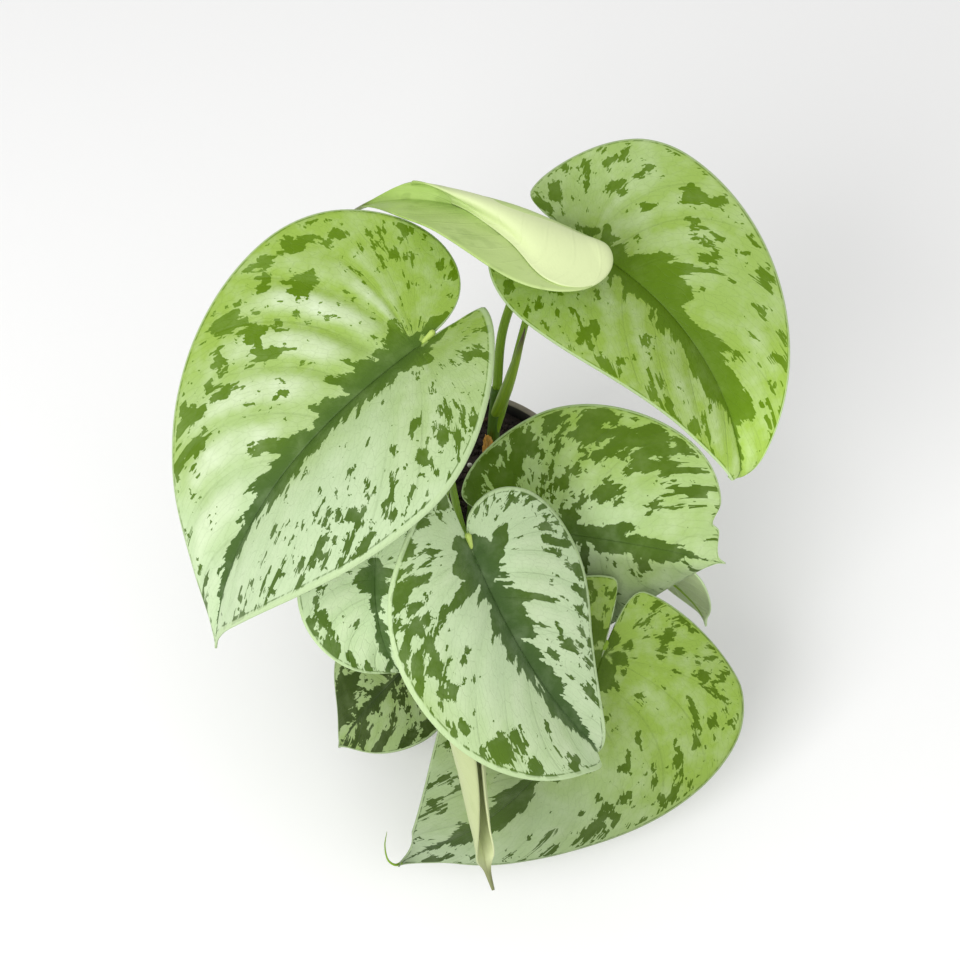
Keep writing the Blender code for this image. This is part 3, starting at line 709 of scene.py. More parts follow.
def add_uv(mesh, name, values):
    """A UV map whose values are given for each vertex."""
    layer = mesh.uv_layers.new(name=name)
    corners = np.empty(len(mesh.loops), dtype=np.int32)
    mesh.loops.foreach_get("vertex_index", corners)
    layer.data.foreach_set("uv", np.asarray(values, dtype=np.float32)[corners].ravel())


def shade(mesh):
    mesh.polygons.foreach_set("use_smooth", np.ones(len(mesh.polygons), dtype=bool))
    mesh.update()


def settle(obj):
    """Replace an object's mesh with its evaluated mesh and drop its modifiers."""
    graph = bpy.context.evaluated_depsgraph_get()
    mesh = bpy.data.meshes.new_from_object(obj.evaluated_get(graph))
    obj.modifiers.clear()
    old = obj.data
    obj.data = mesh
    bpy.data.meshes.remove(old)
    mesh.name = obj.name
    return obj


def repair(mesh, span=0.0, outward=False):
    """Join corners closer than span, turn the faces outward where asked, and shade them smooth."""
    bm = bmesh.new()
    bm.from_mesh(mesh)
    if span:
        bmesh.ops.remove_doubles(bm, verts=bm.verts, dist=span)
    if outward:
        bmesh.ops.recalc_face_normals(bm, faces=bm.faces)
    bm.to_mesh(mesh)
    bm.free()
    shade(mesh)


def new_mesh(name, points, faces, layers=None, span=0.0, outward=False):
    """A smooth mesh whose UV maps are given by vertex."""
    mesh = bpy.data.meshes.new(name)
    mesh.from_pydata(np.asarray(points).tolist(), [], [[int(k) for k in face] for face in faces])
    for layer, values in (layers or {}).items():
        add_uv(mesh, layer, values)
    repair(mesh, span, outward)
    return mesh


def finish_piece(obj, slot, *nodes, material=None):
    """Ride on the only body, take the material where one is given, and stand for solids where some are named;
    slot is not used.
    """
    if material:
        obj.data.materials.append(material)
    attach(obj, "root")
    if nodes:
        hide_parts(*nodes)
    return obj


def grid_faces(rows, columns):
    a = (np.arange(rows)[:, None] * (columns + 1) + np.arange(columns)[None, :]).ravel()
    return np.stack([a, a + 1, a + columns + 2, a + columns + 1], axis=1)


def thicken(obj, thickness, offset=0.0):
    """Give a sheet its thickness; its upper side and rim keep the first material."""
    shell = obj.modifiers.new("thickness", "SOLIDIFY")
    shell.thickness = thickness
    shell.offset = offset
    shell.material_offset = 1
    shell.material_offset_rim = 0
    settle(obj)
    shade(obj.data)
    return obj


def leaf_sheet(leaf, settings, part, points, layers, faces, top):
    """A thick sheet of a leaf with its upper and under material; top names the upper one."""
    mesh = new_mesh(f"{leaf.name}_{part}", points, faces, layers, span=2e-6)
    for side, make in ((top, upper_material), ("under", under_material)):
        name = f"{leaf.name}_{side}"
        make = young_material if leaf.look.young else make
        mesh.materials.append(bpy.data.materials.get(name) or make(leaf, settings, name))
    return thicken(new_object(mesh.name, mesh), settings.thickness)


def blade(leaf, settings):
    """The fine blade of a leaf: two halves joined along the rib, with their thickness."""
    right, right_layers = half_grid(leaf, leaf.right, 1, settings)
    left, left_layers = half_grid(leaf, leaf.left, -1, settings)
    layers = {name: np.vstack([right_layers[name], left_layers[name]]) for name in right_layers}
    quads = grid_faces(settings.rows, settings.columns)
    faces = np.vstack([quads, quads[:, ::-1] + len(right)])
    return leaf_sheet(leaf, settings, "blade", np.vstack([right, left]), layers, faces, "upper")


def leaving(leaf, half, side, x, y, step):
    """Points and normals of a half at flat coordinates, and the way that it leads outward there."""
    point, normal = surface_at(leaf, half, side, x, y)
    inner, _ = surface_at(leaf, half, side, x - step, y)
    return point, normal, (point - inner) / step


def flap(leaf, settings):
    """The rolled half of the young leaf, lying over its other half up to a soft seam."""
    t = np.linspace(0.0, 1.0, FLAP_ROWS + 1)
    edge = margin(leaf, leaf.right, 400)
    x0, y0 = (np.interp(0.07 + 0.66 * t, np.linspace(0, 1, 401), edge[:, k]) for k in (0, 1))
    start, _, setting_off = leaving(leaf, leaf.right, 1, np.minimum(0.93 * x0, FLAP_START), y0, 0.0005)
    x1, y1 = through(FLAP_SEAM, FLAP_ROWS + 1).T
    end, end_normal, arriving = leaving(leaf, leaf.left, -1, x1, y1, 0.001)
    end = end + FLAP_LIFT * end_normal
    back = -Rib(leaf).ahead[0]
    span = np.linalg.norm(end - start, axis=1)[:, None]
    bulge = FLAP_BULGE * (1 - smooth(t, 0.0, 0.45))[:, None] * back
    b = np.linspace(0.0, 1.0, FLAP_COLUMNS + 1)[None, :, None]
    p0, p3 = start[:, None], end[:, None]
    p1 = p0 + (0.35 * span * setting_off + bulge)[:, None]
    p2 = p3 + (0.08 * span * end_normal - 0.30 * span * arriving + bulge)[:, None]
    points = blend(p0, p1, p2, p3, b)
    out = np.broadcast_to(b[..., 0], points.shape[:2])
    flat = np.stack([-x1[:, None] * out, y1[:, None] + 0 * out], axis=-1)
    shares = 0.2 + 0.5 * t[:, None] + 0 * out
    layers = leaf_layers(flat, shares, 0.9 * out, 0.002 + span * (1 - out), span * out)
    faces = grid_faces(FLAP_ROWS, FLAP_COLUMNS)[:, ::-1]
    return leaf_sheet(leaf, settings, "flap", points.reshape(-1, 3), layers, faces, "flap")


def nub(leaf, settings):
    """The pale end of the stalk where it shows in the notch."""
    rib = Rib(leaf)
    back, up = -rib.ahead[0], rib.above[0]
    share = np.linspace(0.0, 1.0, 14)
    line = [np.array(leaf.base) + back * (0.0065 * s - 0.0035) + up * (0.0003 + 0.0012 * s) for s in share]
    radii = NUB_RADIUS * np.interp(share, [0, 0.15, 0.5, 0.85, 1], [0.3, 0.7, 0.9, 1.1, 0.6])
    return tube(f"{leaf.name}_nub", line, radii, settings.sides, up)


def drip_tip(leaf, settings):
    """The thread that a blade's tip ends in, bent back over the blade."""
    rib = Rib(leaf)
    start, end = rib.at(np.array([leaf.length - 0.002, leaf.length]))[0]
    line = through([start, *(end + step for step in leaf.drip)], 40)
    radii = np.interp(np.linspace(0, 1, 40), [0, 0.3, 0.8, 1], DRIP_RADII)
    return tube(f"{leaf.name}_drip_tip", line, radii, settings.sides, rib.above[-1])


class LeafShader(Shader):
    """A blade's material, with the leaf coordinates of the point that is shaded.

    across and along are metres on the flat blade, and wide and share the same as shares of its size.
    vein is the place on the margin that the lateral vein there leads to, and out how far out it is.
    rim and run are metres from the margin and along the vein.  crest is 0.5 on a vein and 0 between.
    right is 1 on the right half and 0 on the left.
    """

    def __init__(self, leaf, half, name, seed):
        super().__init__(name)
        self.across, self.along = (value * 0.1 for value in self.uv("flat"))
        place, self.out = self.uv("vein")
        self.rim, run = (value * 0.1 for value in self.uv("rim"))
        sweep = VEIN_SWEEP * place.step(*SWEEP_GROWS) * (1.0 - SWEEP_LOSS * place.step(*SWEEP_LOSES))
        swept = self.out * (0.4 + 0.6 * self.out)
        travel = sweep * swept * (MARGIN_RUN * leaf.length)
        self.run = (run * run + travel * travel) ** 0.5
        self.vein = place + sweep * (1.0 - swept)
        self.crest = abs((self.vein * leaf.look.laterals).fraction() - 0.5)
        self.wide = self.across / half.width
        self.share = self.along / leaf.length
        self.right = self.across.step(-0.00001, 0.00001)
        self.spot = self.vector(self.across, self.along, seed)

    def freshness(self, look, clouds):
        # fresh yellow-green against silver, partly painted light where the gradients stand in for glow,
        # reflection and shade
        fresh = look.fresh + look.fresh_and_painted_light_across * self.wide + look.fresh_and_painted_light_along * (self.share - 0.4)
        return (fresh + clouds).step(0.0, 1.0)


def lattice(shader, u, w, size, stretch):
    """Centre and random offset of the ragged cell at a point; cells are stretched along the veins."""
    spot = shader.vector(u / size, w / (size * stretch))
    ragged = shader.shift(spot, shader.noise(spot, 1.9, 2.0, 0.6, output=1), 1.1)
    cell_u, cell_w, _ = shader.split(shader.cells(ragged, output="Position"))
    jump_x, jump_y, _ = shader.split(shader.cells(ragged, output="Color"))
    return cell_u * size, cell_w * (size * stretch), jump_x * size, jump_y * size


def mottling(shader, leaf):
    """Masks of the jagged band along the rib and of the angular blotches."""
    look = leaf.look
    share, run, out = shader.share, shader.run, shader.out
    u = shader.vein * (MARGIN_RUN * leaf.length) + 3.0 * shader.right
    w = run * (0.55 + 0.45 / (out + 0.25))
    patch = shader.noise(shader.vector(shader.across, shader.along, look.seed + 4.0), 34.0, 1.0)
    zone = look.blotch + look.blotch_edge * (out.step(0.35, 0.85) - 0.5) + PATCHES * (patch - 0.5)
    zone = zone + look.blotch_across * shader.wide + look.blotch_along * (share - 0.4)
    zone = zone - 0.20 * out.step(0.96, 0.99)
    width = look.band * (1.0 - 0.90 * share.step(0.40, 1.0)) * share.step(0.03, 0.13)
    band, blotches = 0.0, 0.0
    for size, stretch, more in ((look.grain, 1.5, 0.0), (look.grain * 0.45, 6.0, 0.035)):
        cell_u, cell_w, jump_x, jump_y = lattice(shader, u, w, size, stretch)
        drawn = shader.noise(shader.vector(cell_u, cell_w * look.squeeze, look.seed), look.scale, 2.5, 0.65)
        placed = shader.vector(shader.across + 0.9 * jump_x, shader.along + 0.9 * jump_y, look.seed + 6.0)
        spread = shader.noise(placed, look.scale * 0.9, 1.5, 0.5)
        large = 0.5 + 1.3 * (look.drawn * (drawn - 0.5) + (1.0 - look.drawn) * (spread - 0.5))
        small = shader.noise(shader.shift(placed, placed, 1.5), look.scale, 1.5, 0.5)
        field = (large + zone).most(small + 0.8 * zone + SPECKS)
        blotches = (field - more).step(0.5, 0.503).most(blotches)
        finger = shader.noise(shader.vector(cell_u, 0.0, look.seed), 52.0, 3.5, 0.65)
        finger = (finger - 0.32).most(0.0) / 0.34
        lumps = shader.noise(shader.vector(cell_u, cell_w * 0.5, look.seed + 3.0), 95.0, 3.0, 0.65)
        reach = width * (0.42 + 1.25 * finger * finger + 2.4 * (lumps - 0.5))
        band = (reach - cell_w).step(0.0, 0.0001).most(band)
        foot = look.band * (0.30 + 2.6 * (shader.noise(placed, 70.0, 2.0, 0.6) - 0.42))
        band = (foot * (1.0 - share.step(0.06, 0.20)) - run).step(0.0, 0.0001).most(band)
    return band, blotches


def upper_material(leaf, settings, name):
    """Satin upper face: silver, a jagged deep band along the rib, and angular blotches, with painted
    highlights on the ridges and painted shade in the creases.
    """
    look = leaf.look
    shader = LeafShader(leaf, leaf.right, name, look.seed)
    crest, vein, out, rim = shader.crest, shader.vein, shader.out, shader.rim
    broad = shader.noise(shader.spot, 24.0, 2.0)
    cloud = shader.noise(shader.spot, 95.0, 3.0, 0.6)
    speck = shader.noise(shader.spot, 900.0, 2.0, 0.6)
    band, blotches = mottling(shader, leaf)

    # silver, cooler or fresher over the blade, with a painted highlight on the ridges between the veins
    fresh = shader.freshness(look, 0.8 * (broad - 0.5))
    silver = shader.mix(fresh, settings.silver, settings.fresh)
    ridge_highlight = (1.0 - crest.step(0.08, 0.42)) * out.step(0.10, 0.35) * (1.0 - out.step(0.65, 0.92))
    ridge_highlight = ridge_highlight * vein.step(0.30, 0.52) * broad.step(0.25, 0.55)
    ridge_highlight = ridge_highlight * (look.calm + (1.0 - look.calm) * shader.across.step(-0.001, 0.001))
    # painted shade in the creases along the lateral veins
    crease = crest.step(0.455, 0.495) * out.step(0.04, 0.12) * (1.0 - out.step(0.82, 0.96))
    crease = crease * broad.step(0.35, 0.6) * vein.step(0.1, 0.5)
    silver = shader.mix((look.ridge_highlight * ridge_highlight + 0.9 * (cloud - 0.45)).most(0.0), silver, settings.pale)

    # fine net of veins, specks, and the painted shade in the creases
    net = shader.vector(vein * (520.0 * leaf.length) + 40.0 * shader.right, shader.run * 190.0)
    net = shader.shift(net, shader.noise(net, 1.3, 2.0, 0.5, output=1), 0.5)
    lines = 1.0 - shader.cells(net, feature="DISTANCE_TO_EDGE").step(0.015, 0.06)
    dark = (0.08 * lines + 0.14 * crease + 0.25 * (speck - 0.5)).most(0.0)
    silver = shader.mix(dark, silver, settings.green)

    # greens: brighter on fresh parts, duller on silvery ones, deep along the rib
    green = shader.mix(fresh, settings.green, settings.bright)
    deep = (look.deep * (1.0 - (shader.run / look.band).step(0.0, 0.9))).least(1.0)
    # darker greens on blades in shadow: painted shade
    green = shader.scaled(shader.mix(deep, green, settings.deep), look.depth)
    green = shader.mix((0.5 * (cloud - 0.45)).most(0.0), green, silver)
    base = shader.mix(band.most(blotches), silver, green)
    # a faint darker line along the rib: painted shade in its groove
    base = shader.mix(0.08 * (1.0 - abs(shader.across).step(0.0002, 0.0008)), base, settings.deep)

    # pale line along the margin, with a broken green one inside it
    broken = shader.noise(shader.vector(vein, 0.0, look.seed), 30.0, 3.0, 0.7).step(0.45, 0.53)
    edge = look.margin_left + (look.margin - look.margin_left) * shader.right
    edge = edge * (0.7 + 0.6 * broad)
    inner = (rim / edge).step(0.85, 1.0) * (1.0 - ((rim - edge) * 1000.0).step(0.2, 0.6))
    base = shader.mix(0.75 * broken * inner, base, green)
    base = shader.mix((1.0 - (rim / edge).step(0.7, 1.0)) * 0.75, base, settings.rim)

    # the whole colour brighter or darker over the blade: painted light and shade
    tone = look.tone * (1.0 - look.painted_shade_along * shader.share.step(*look.painted_shade_span))
    base = shader.scaled(base, tone * (1.0 - look.painted_shade_across * shader.wide.step(0.0, 0.2)))
    normal = shader.bump(0.5 * speck + 0.5 * cloud - 0.35 * lines - 0.8 * crease, 0.00035, 0.5)
    rough = 0.47 - 0.08 * band.most(blotches) + 0.10 * (speck - 0.5)
    return shader.surface(Base_Color=base, Roughness=rough, Normal=normal, Specular_IOR_Level=0.15)


def young_material(leaf, settings, name):
    """Plain face of a young leaf: cream at its round end, lime towards the tip, faintly mottled."""
    look = leaf.look
    shader = LeafShader(leaf, leaf.left, name, look.seed)
    share = shader.share
    broad = shader.noise(shader.spot, 30.0, 2.0)
    streak = shader.noise(shader.vector(shader.vein * 2.0, shader.run * 3.0, look.seed), 26.0, 3.0, 0.6)
    speck = shader.noise(shader.spot, 900.0, 2.0, 0.6)
    # from pale to lime over the blade; the gradients partly paint light, as on the open-folded leaf's paler
    # half
    fresh = shader.freshness(look, 0.7 * (broad - 0.5))
    if look.rolled and name.endswith("flap"):
        fresh = fresh * share.step(0.10, 0.42)
    elif look.rolled:
        fresh = fresh * 0.5 + 0.5
    base = shader.mix(fresh, look.pale, look.lime)
    # painted shade in the creases along the lateral veins
    crease = shader.crest.step(0.42, 0.495) * (1.0 - shader.out.step(0.82, 0.96))
    patch = shader.noise(shader.vector(shader.across, shader.along * 0.4, look.seed + 2.0), 130.0, 3.0, 0.6)
    base = shader.mix(0.35 * patch.step(0.53, 0.62) * look.contrast * fresh, base, settings.bright)
    base = shader.mix((0.02 * crease + 0.20 * (streak - 0.5)).most(0.0), base, settings.bright)
    if look.open_fold:
        apart = abs(shader.across - 0.0006).step(0.00015, 0.0002 + 0.0007 * share.step(0.1, 0.8))
        base = shader.mix(0.85 * (1.0 - apart) * (1.0 - share.step(0.80, 0.84)), base, FOLD_SHADE)
    base = shader.mix(0.8 * share.step(0.90, 1.0), base, YOUNG_TIP)
    normal = shader.bump(0.4 * speck + 0.5 * crease + 0.5 * streak, 0.0003, 0.5)
    return shader.surface(Base_Color=base, Roughness=0.46 + 0.1 * (speck - 0.5), Normal=normal)


def under_material(leaf, settings, name):
    """Plain grey-green underside with raised veins."""
    shader = LeafShader(leaf, leaf.right, name, leaf.look.seed + 20.0)
    broad = shader.noise(shader.spot, 34.0, 3.0)
    speck = shader.noise(shader.spot, 700.0, 3.0, 0.6)
    raised = shader.crest.step(0.42, 0.49) * (1.0 - shader.out.step(0.75, 0.95))
    base = shader.mix(broad, settings.under, darker(settings.under, 0.78))
    base = shader.mix(0.30 * raised, base, settings.pale)
    base = shader.mix(0.25 * speck, base, settings.bright)
    base = shader.mix(1.0 - shader.rim.step(0.0004, 0.0008), base, settings.rim)
    # brighter or darker underside: painted light and shade
    base = shader.scaled(base, leaf.look.tone)
    tissue = shader.cells(shader.spot, 560.0, "DISTANCE_TO_EDGE", dimensions="3D")
    normal = shader.bump(raised + 0.3 * speck - 0.35 * tissue.step(0.0, 0.2), 0.0004, 0.6)
    return shader.surface(Base_Color=base, Roughness=0.55 + 0.1 * (speck - 0.5), Normal=normal)


def stem_point(stem, height):
    """Point on a stem's centre line, which is upright in its hole and then leans a little."""
    heights = [SOIL_TOP - STEM_DEPTH, *np.linspace(SOIL_TOP + STEM_KNEE, stem.top, 5)]
    bend = np.interp(height, heights, np.array([0.0, 0.0, 0.25, 0.5, 0.75, 1.0]) ** 1.4)
    return np.array([stem.x + stem.lean_x * bend, stem.y + stem.lean_y * bend, height])


def tube(name, points, radii, sides, up, section=None):
    """A closed tube through points; section(turn, share) scales its radius round and along it."""
    points = np.asarray(points, float)
    ahead = np.gradient(points, axis=0)
    ahead /= np.linalg.norm(ahead, axis=1)[:, None]
    run = np.concatenate([[0.0], np.cumsum(np.linalg.norm(np.diff(points, axis=0), axis=1))])
    top = np.asarray(up, float)
    turns = 2 * math.pi * np.arange(sides) / sides
    rings, uvs = [], []
    for k, (point, direction, radius) in enumerate(zip(points, ahead, radii)):
        top = top - direction * top.dot(direction)
        top /= np.linalg.norm(top)
        side = np.cross(direction, top)
        scale = np.ones(sides) if section is None else section(turns, run[k] / run[-1])
        ring = np.cos(turns)[:, None] * top + np.sin(turns)[:, None] * side
        rings.append(point + ring * (radius * scale)[:, None])
        uvs.append(np.stack([turns / (2 * math.pi), np.full(sides, run[k] * 10)], axis=1))
    rings = [np.repeat(points[:1], sides, axis=0)] + rings + [np.repeat(points[-1:], sides, axis=0)]
    uvs = [uvs[0]] + uvs + [uvs[-1]]
    faces = []
    for i in range(len(rings) - 1):
        for k in range(sides):
            a, b = i * sides + k, i * sides + (k + 1) % sides
            faces.append((a, b, b + sides, a + sides))
    layers = {"round": np.vstack(uvs)}
    return new_object(name, new_mesh(name, np.vstack(rings), faces, layers, span=1e-7, outward=True))


def stalk(leaf, settings):
    """A leaf's rib under its blade and its channelled stalk, down to the stem."""
    rib = Rib(leaf)
    points, radii = [], []
    for share in np.linspace(RIB_SHOWN, 0.0, 60):
        point, _, _, above = rib.at(share * leaf.length)
        radius = np.interp(share, [0.0, RIB_REACH, RIB_SHOWN], [RIB_RADIUS, RIB_END_RADIUS, 0.00025])
        sunk = (0.0005 + 0.45 * radius) * min(share * leaf.length / 0.005, 1.0)
        points.append(point - above * sunk)
        radii.append(radius)
    base = np.array(leaf.base)
    back = rib.ahead[0]
    foot = stem_point(STEMS[leaf.stem], leaf.foot)
    if leaf.via:
        line = through([base, base - back * leaf.knee, *leaf.via, foot], 90)[1:]
    else:
        first = base - back * leaf.knee + np.array([0, 0, leaf.rise])
        last = foot + np.array([*leaf.away, leaf.arch])
        line = bezier(base, first, last, foot, 70)[1:]
    for share, point in zip(np.linspace(0.0, 1.0, len(line) + 1)[1:], line):
        swell = 1.0 + 0.35 * math.exp(-((share - 0.03) / 0.03) ** 2)
        points.append(point)
        radii.append((RIB_RADIUS + (STALK_FOOT_RADIUS - RIB_RADIUS) * share) * swell)

    def section(turns, share):
        return 1.0 - settings.channel * np.exp(-(np.angle(np.exp(1j * turns)) / 0.45) ** 2) * (share > 0.3)

    up = rib.at(RIB_SHOWN * leaf.length)[3]
    return tube(f"{leaf.name}_stalk", points, radii, settings.sides, up, section)


def green_material(name, main, dark, tip=None):
    """Smooth living stalk with fine lengthwise streaks; tip is a colour that its end turns to."""
    shader = Shader(name)
    turn, run = shader.uv("round")
    streak = shader.noise(shader.vector(turn * 3.0, run * 0.35, 2.0), 9.0, 3.0, 0.6)
    speck = shader.noise(shader.place(), 900.0, 2.0)
    broad = shader.noise(shader.place(), 60.0, 2.0)
    base = shader.mix(streak.step(0.35, 0.75), main, dark)
    base = shader.mix(0.35 * broad, base, [min(1.0, c * 1.6) for c in main])
    if tip is not None:
        base = shader.mix(run.step(0.54, 0.68), base, tip)
    normal = shader.bump(streak + 0.3 * speck, 0.0002, 0.5)
    return shader.surface(Base_Color=base, Roughness=0.42 + 0.2 * (speck - 0.5), Normal=normal,
                          Specular_IOR_Level=0.25)


def husk_material(settings):
    """Papery dry husk with brown fibres."""
    shader = Shader("dry_husk_fibres")
    place = shader.place()
    fibre = shader.noise(shader.stretched(place, 1.0, 1.0, 0.12), 2400.0, 3.0, 0.6)
    broad = shader.noise(place, 300.0, 2.0)
    base = shader.mix(fibre.step(0.35, 0.7), settings.husk, darker(settings.husk, 0.45))
    base = shader.mix(0.5 * broad.step(0.45, 0.7), base, settings.husk_pale)
    normal = shader.bump(fibre, 0.0003, 0.7)
    return shader.surface(Base_Color=base, Roughness=0.85, Normal=normal)


def soil_material(name, dark, light, rough=0.95):
    """Damp crumbly soil."""
    shader = Shader(name)
    place = shader.place()
    coarse = shader.noise(place, 260.0, 4.0, 0.65)
    fine = shader.noise(place, 1500.0, 3.0, 0.7)
    base = shader.mix((coarse * 0.7 + fine * 0.5).step(0.45, 0.85), dark, light)
    normal = shader.bump(coarse + 0.5 * fine, 0.0009, 0.9)
    return shader.surface(Base_Color=base, Roughness=rough - 0.15 * coarse, Normal=normal)


def plastic_material(settings):
    """Matt dark plastic with mould grain, dusty and a little scuffed, with dust and a painted highlight along
    the top of the lip.
    """
    shader = Shader("pot_plastic_grain")
    place = shader.place()
    height = shader.split(place)[2]
    broad = shader.noise(place, 28.0, 4.0, 0.6)
    grain_fine = shader.noise(place, 2600.0, 2.0, 0.6)
    scuff = shader.noise(shader.stretched(place, 1.0, 1.0, 7.0), 110.0, 3.0, 0.7)
    dust_and_lip_sheen = broad.step(0.48, 0.75) * 0.20 + scuff.step(0.66, 0.72) * 0.16
    dust_and_lip_sheen = dust_and_lip_sheen + 0.25 * height.step(POT_HEIGHT - 0.004, POT_HEIGHT) * broad
    # pale band on top of the lip: dust and a painted highlight
    dust_and_lip_sheen = dust_and_lip_sheen + 0.80 * height.step(POT_HEIGHT - 0.0007, POT_HEIGHT - 0.0002) * (0.4 + scuff)
    base = shader.mix(dust_and_lip_sheen, settings.plastic, settings.dust_and_lip_sheen)
    normal = shader.bump(grain_fine + 0.3 * scuff, 0.00012, 0.5)
    return shader.surface(Base_Color=base, Roughness=0.44 + 0.5 * dust_and_lip_sheen + 0.1 * grain_fine, Normal=normal)


def pot_outer_radius(z):
    """Outside radius of the pot's wall below its band, at a height."""
    return POT_BASE_RADIUS + (POT_RIM_RADIUS - BAND_DEPTH - POT_BASE_RADIUS) * z / POT_HEIGHT


def pot_inner_radius(z):
    return pot_outer_radius(z) - POT_WALL


def arc(x, z, radius, start, stop, steps):
    """Points of an arc in the XZ plane, its angles in degrees from +X."""
    turns = np.radians(np.linspace(start, stop, steps))
    return [(x + radius * math.cos(t), z + radius * math.sin(t)) for t in turns]


def pot_profile():
    """Closed outline of the pot's wall: down its outside from the lip, and up its inside."""
    band = POT_HEIGHT - BAND_HEIGHT
    lip, corner = LIP_RADIUS, CORNER_RADIUS
    profile = arc(POT_RIM_RADIUS - lip, POT_HEIGHT - lip, lip, 90, 0, 6)
    profile += arc(POT_RIM_RADIUS - lip, band + corner, corner, 0, -90, 4)
    profile += arc(pot_outer_radius(band) + corner, band - corner, corner, 90, 180, 4)
    profile += [(pot_outer_radius(band - down) + out, band - down) for down, out in BEAD]
    profile += [(pot_outer_radius(z), z) for z in OUTER_RINGS]
    profile += arc(POT_BASE_RADIUS - 0.0012, FOOT_RADIUS, FOOT_RADIUS, 0, -90, 5)
    profile += UNDERSIDE
    profile += [(x, POT_FLOOR) for x in (0.0, 0.018, 0.032, pot_inner_radius(POT_FLOOR))]
    profile += [(pot_inner_radius(z), z) for z in INNER_RINGS]
    profile += arc(pot_inner_radius(POT_HEIGHT) + lip, POT_HEIGHT - lip, lip, 180, 90, 5)
    return profile


def make_pot(settings):
    """Turned pot with a rolled lip, a stepped band, a foot ring and drain holes."""
    profile = pot_profile()
    mesh = bpy.data.meshes.new("pot")
    edges = [(i, (i + 1) % len(profile)) for i in range(len(profile))]
    mesh.from_pydata([(x, 0.0, z) for x, z in profile], edges, [])
    pot = new_object("pot_shell", mesh)
    turn = pot.modifiers.new("turn", "SCREW")
    turn.axis = "Z"
    turn.angle = 2 * math.pi
    turn.steps = settings.steps
    turn.render_steps = settings.steps
    turn.use_merge_vertices = True
    turn.merge_threshold = 1e-5
    settle(pot)
    repair(pot.data, span=2e-6)
    drains = new_object("drains", drain_cutters())
    cut = pot.modifiers.new("drains", "BOOLEAN")
    cut.operation = "DIFFERENCE"
    cut.object = drains
    settle(pot)
    bpy.data.objects.remove(drains, do_unlink=True)
    pot.data.materials.clear()
    shade(pot.data)
    pot.data.set_sharp_from_angle(angle=math.radians(40))
    return finish_piece(pot, "pot_plastic", "pot", material=plastic_material(settings))


def drain_cutters():
    """The drain holes as one mesh of cylinders."""
    bm = bmesh.new()
    for k in range(DRAIN_COUNT):
        turn = 2 * math.pi * (k + 0.5) / DRAIN_COUNT
        spot = (DRAIN_CIRCLE * math.cos(turn), DRAIN_CIRCLE * math.sin(turn), POT_FLOOR / 2)
        bmesh.ops.create_cone(bm, cap_ends=True, segments=32, radius1=DRAIN_RADIUS, radius2=DRAIN_RADIUS,
                              depth=POT_FLOOR + 0.004, matrix=Matrix.Translation(spot))
    mesh = bpy.data.meshes.new("drains")
    bm.to_mesh(mesh)
    bm.free()
    return mesh


def soil_height(x, y):
    """Height of the uneven soil at a point."""
    rough = noise.noise(Vector((x * 90.0, y * 90.0, 3.7)))
    lumps = noise.fractal(Vector((x * 380.0, y * 380.0, 1.3)), 0.7, 2.1, 4)
    return SOIL_TOP + 0.0011 * rough + 0.0006 * lumps


def make_soil(settings):
    """Body of soil with an uneven top, filling the pot."""
    low = POT_FLOOR + 0.0003
    foot = pot_inner_radius(low) - SOIL_GAP
    rim = pot_inner_radius(SOIL_TOP) - SOIL_GAP
    turns = 2 * math.pi * np.arange(SOIL_STEPS) / SOIL_STEPS
    verts = [(0.0, 0.0, soil_height(0.0, 0.0))]
    for ring in range(1, SOIL_RINGS + 1):
        radius = rim * ring / SOIL_RINGS
        verts += [(x, y, soil_height(x, y)) for x, y in zip(radius * np.cos(turns), radius * np.sin(turns))]
    verts += [(x, y, low) for x, y in zip(foot * np.cos(turns), foot * np.sin(turns))]
    verts.append((0.0, 0.0, low))
    faces = []
    for k in range(SOIL_STEPS):
        step = (k + 1) % SOIL_STEPS
        faces.append((0, 1 + k, 1 + step))
        for ring in range(SOIL_RINGS):
            a, b = 1 + ring * SOIL_STEPS + k, 1 + ring * SOIL_STEPS + step
            faces.append((a, a + SOIL_STEPS, b + SOIL_STEPS, b))
        last = 1 + SOIL_RINGS * SOIL_STEPS
        faces.append((last + k, len(verts) - 1, last + step))
    soil = new_object("soil_body", new_mesh("soil", verts, faces))
    return finish_piece(soil, "soil", "soil",
                        material=soil_material("soil_damp", settings.dark, settings.light))


def scatter(name, amount, sizes, stretch, sink, rng):
    """Seeded lumps strewn over the soil between the stems, as one mesh."""
    bm = bmesh.new()
    bmesh.ops.create_icosphere(bm, subdivisions=2, radius=1.0)
    ball = np.array([v.co[:] for v in bm.verts])
    ball_faces = np.array([[v.index for v in f.verts] for f in bm.faces])
    bm.free()
    rim = pot_inner_radius(SOIL_TOP) - 0.0015
    stems = [np.array([stem.x, stem.y]) for stem in STEMS.values()]
    verts, faces = [], []
    while len(verts) < amount:
        radius = rim * math.sqrt(rng.random())
        turn = 2 * math.pi * rng.random()
        spot = np.array([radius * math.cos(turn), radius * math.sin(turn)])
        size = sizes[0] + (sizes[1] - sizes[0]) * rng.random() ** 2.5
        clear = min(np.linalg.norm(spot - s) for s in stems) >= 0.0032 + size
        if radius + size * max(stretch) > rim + 0.001 or not clear:
            continue
        axes = np.linalg.qr(rng.normal(size=(3, 3)))[0]
        scale = np.array(stretch) * (0.7 + 0.6 * rng.random(3))
        dents = np.array([noise.noise(Vector(p * 1.7 + 9.0 * rng.random())) for p in ball])
        lump = (ball * (1 + 0.28 * dents)[:, None] * scale) @ axes * size
        place = np.array([*spot, soil_height(*spot) + size * sink])
        faces.append(ball_faces + len(verts) * len(ball))
        verts.append(lump + place)
    return new_object(name, new_mesh(name, np.vstack(verts), np.vstack(faces), outward=True))


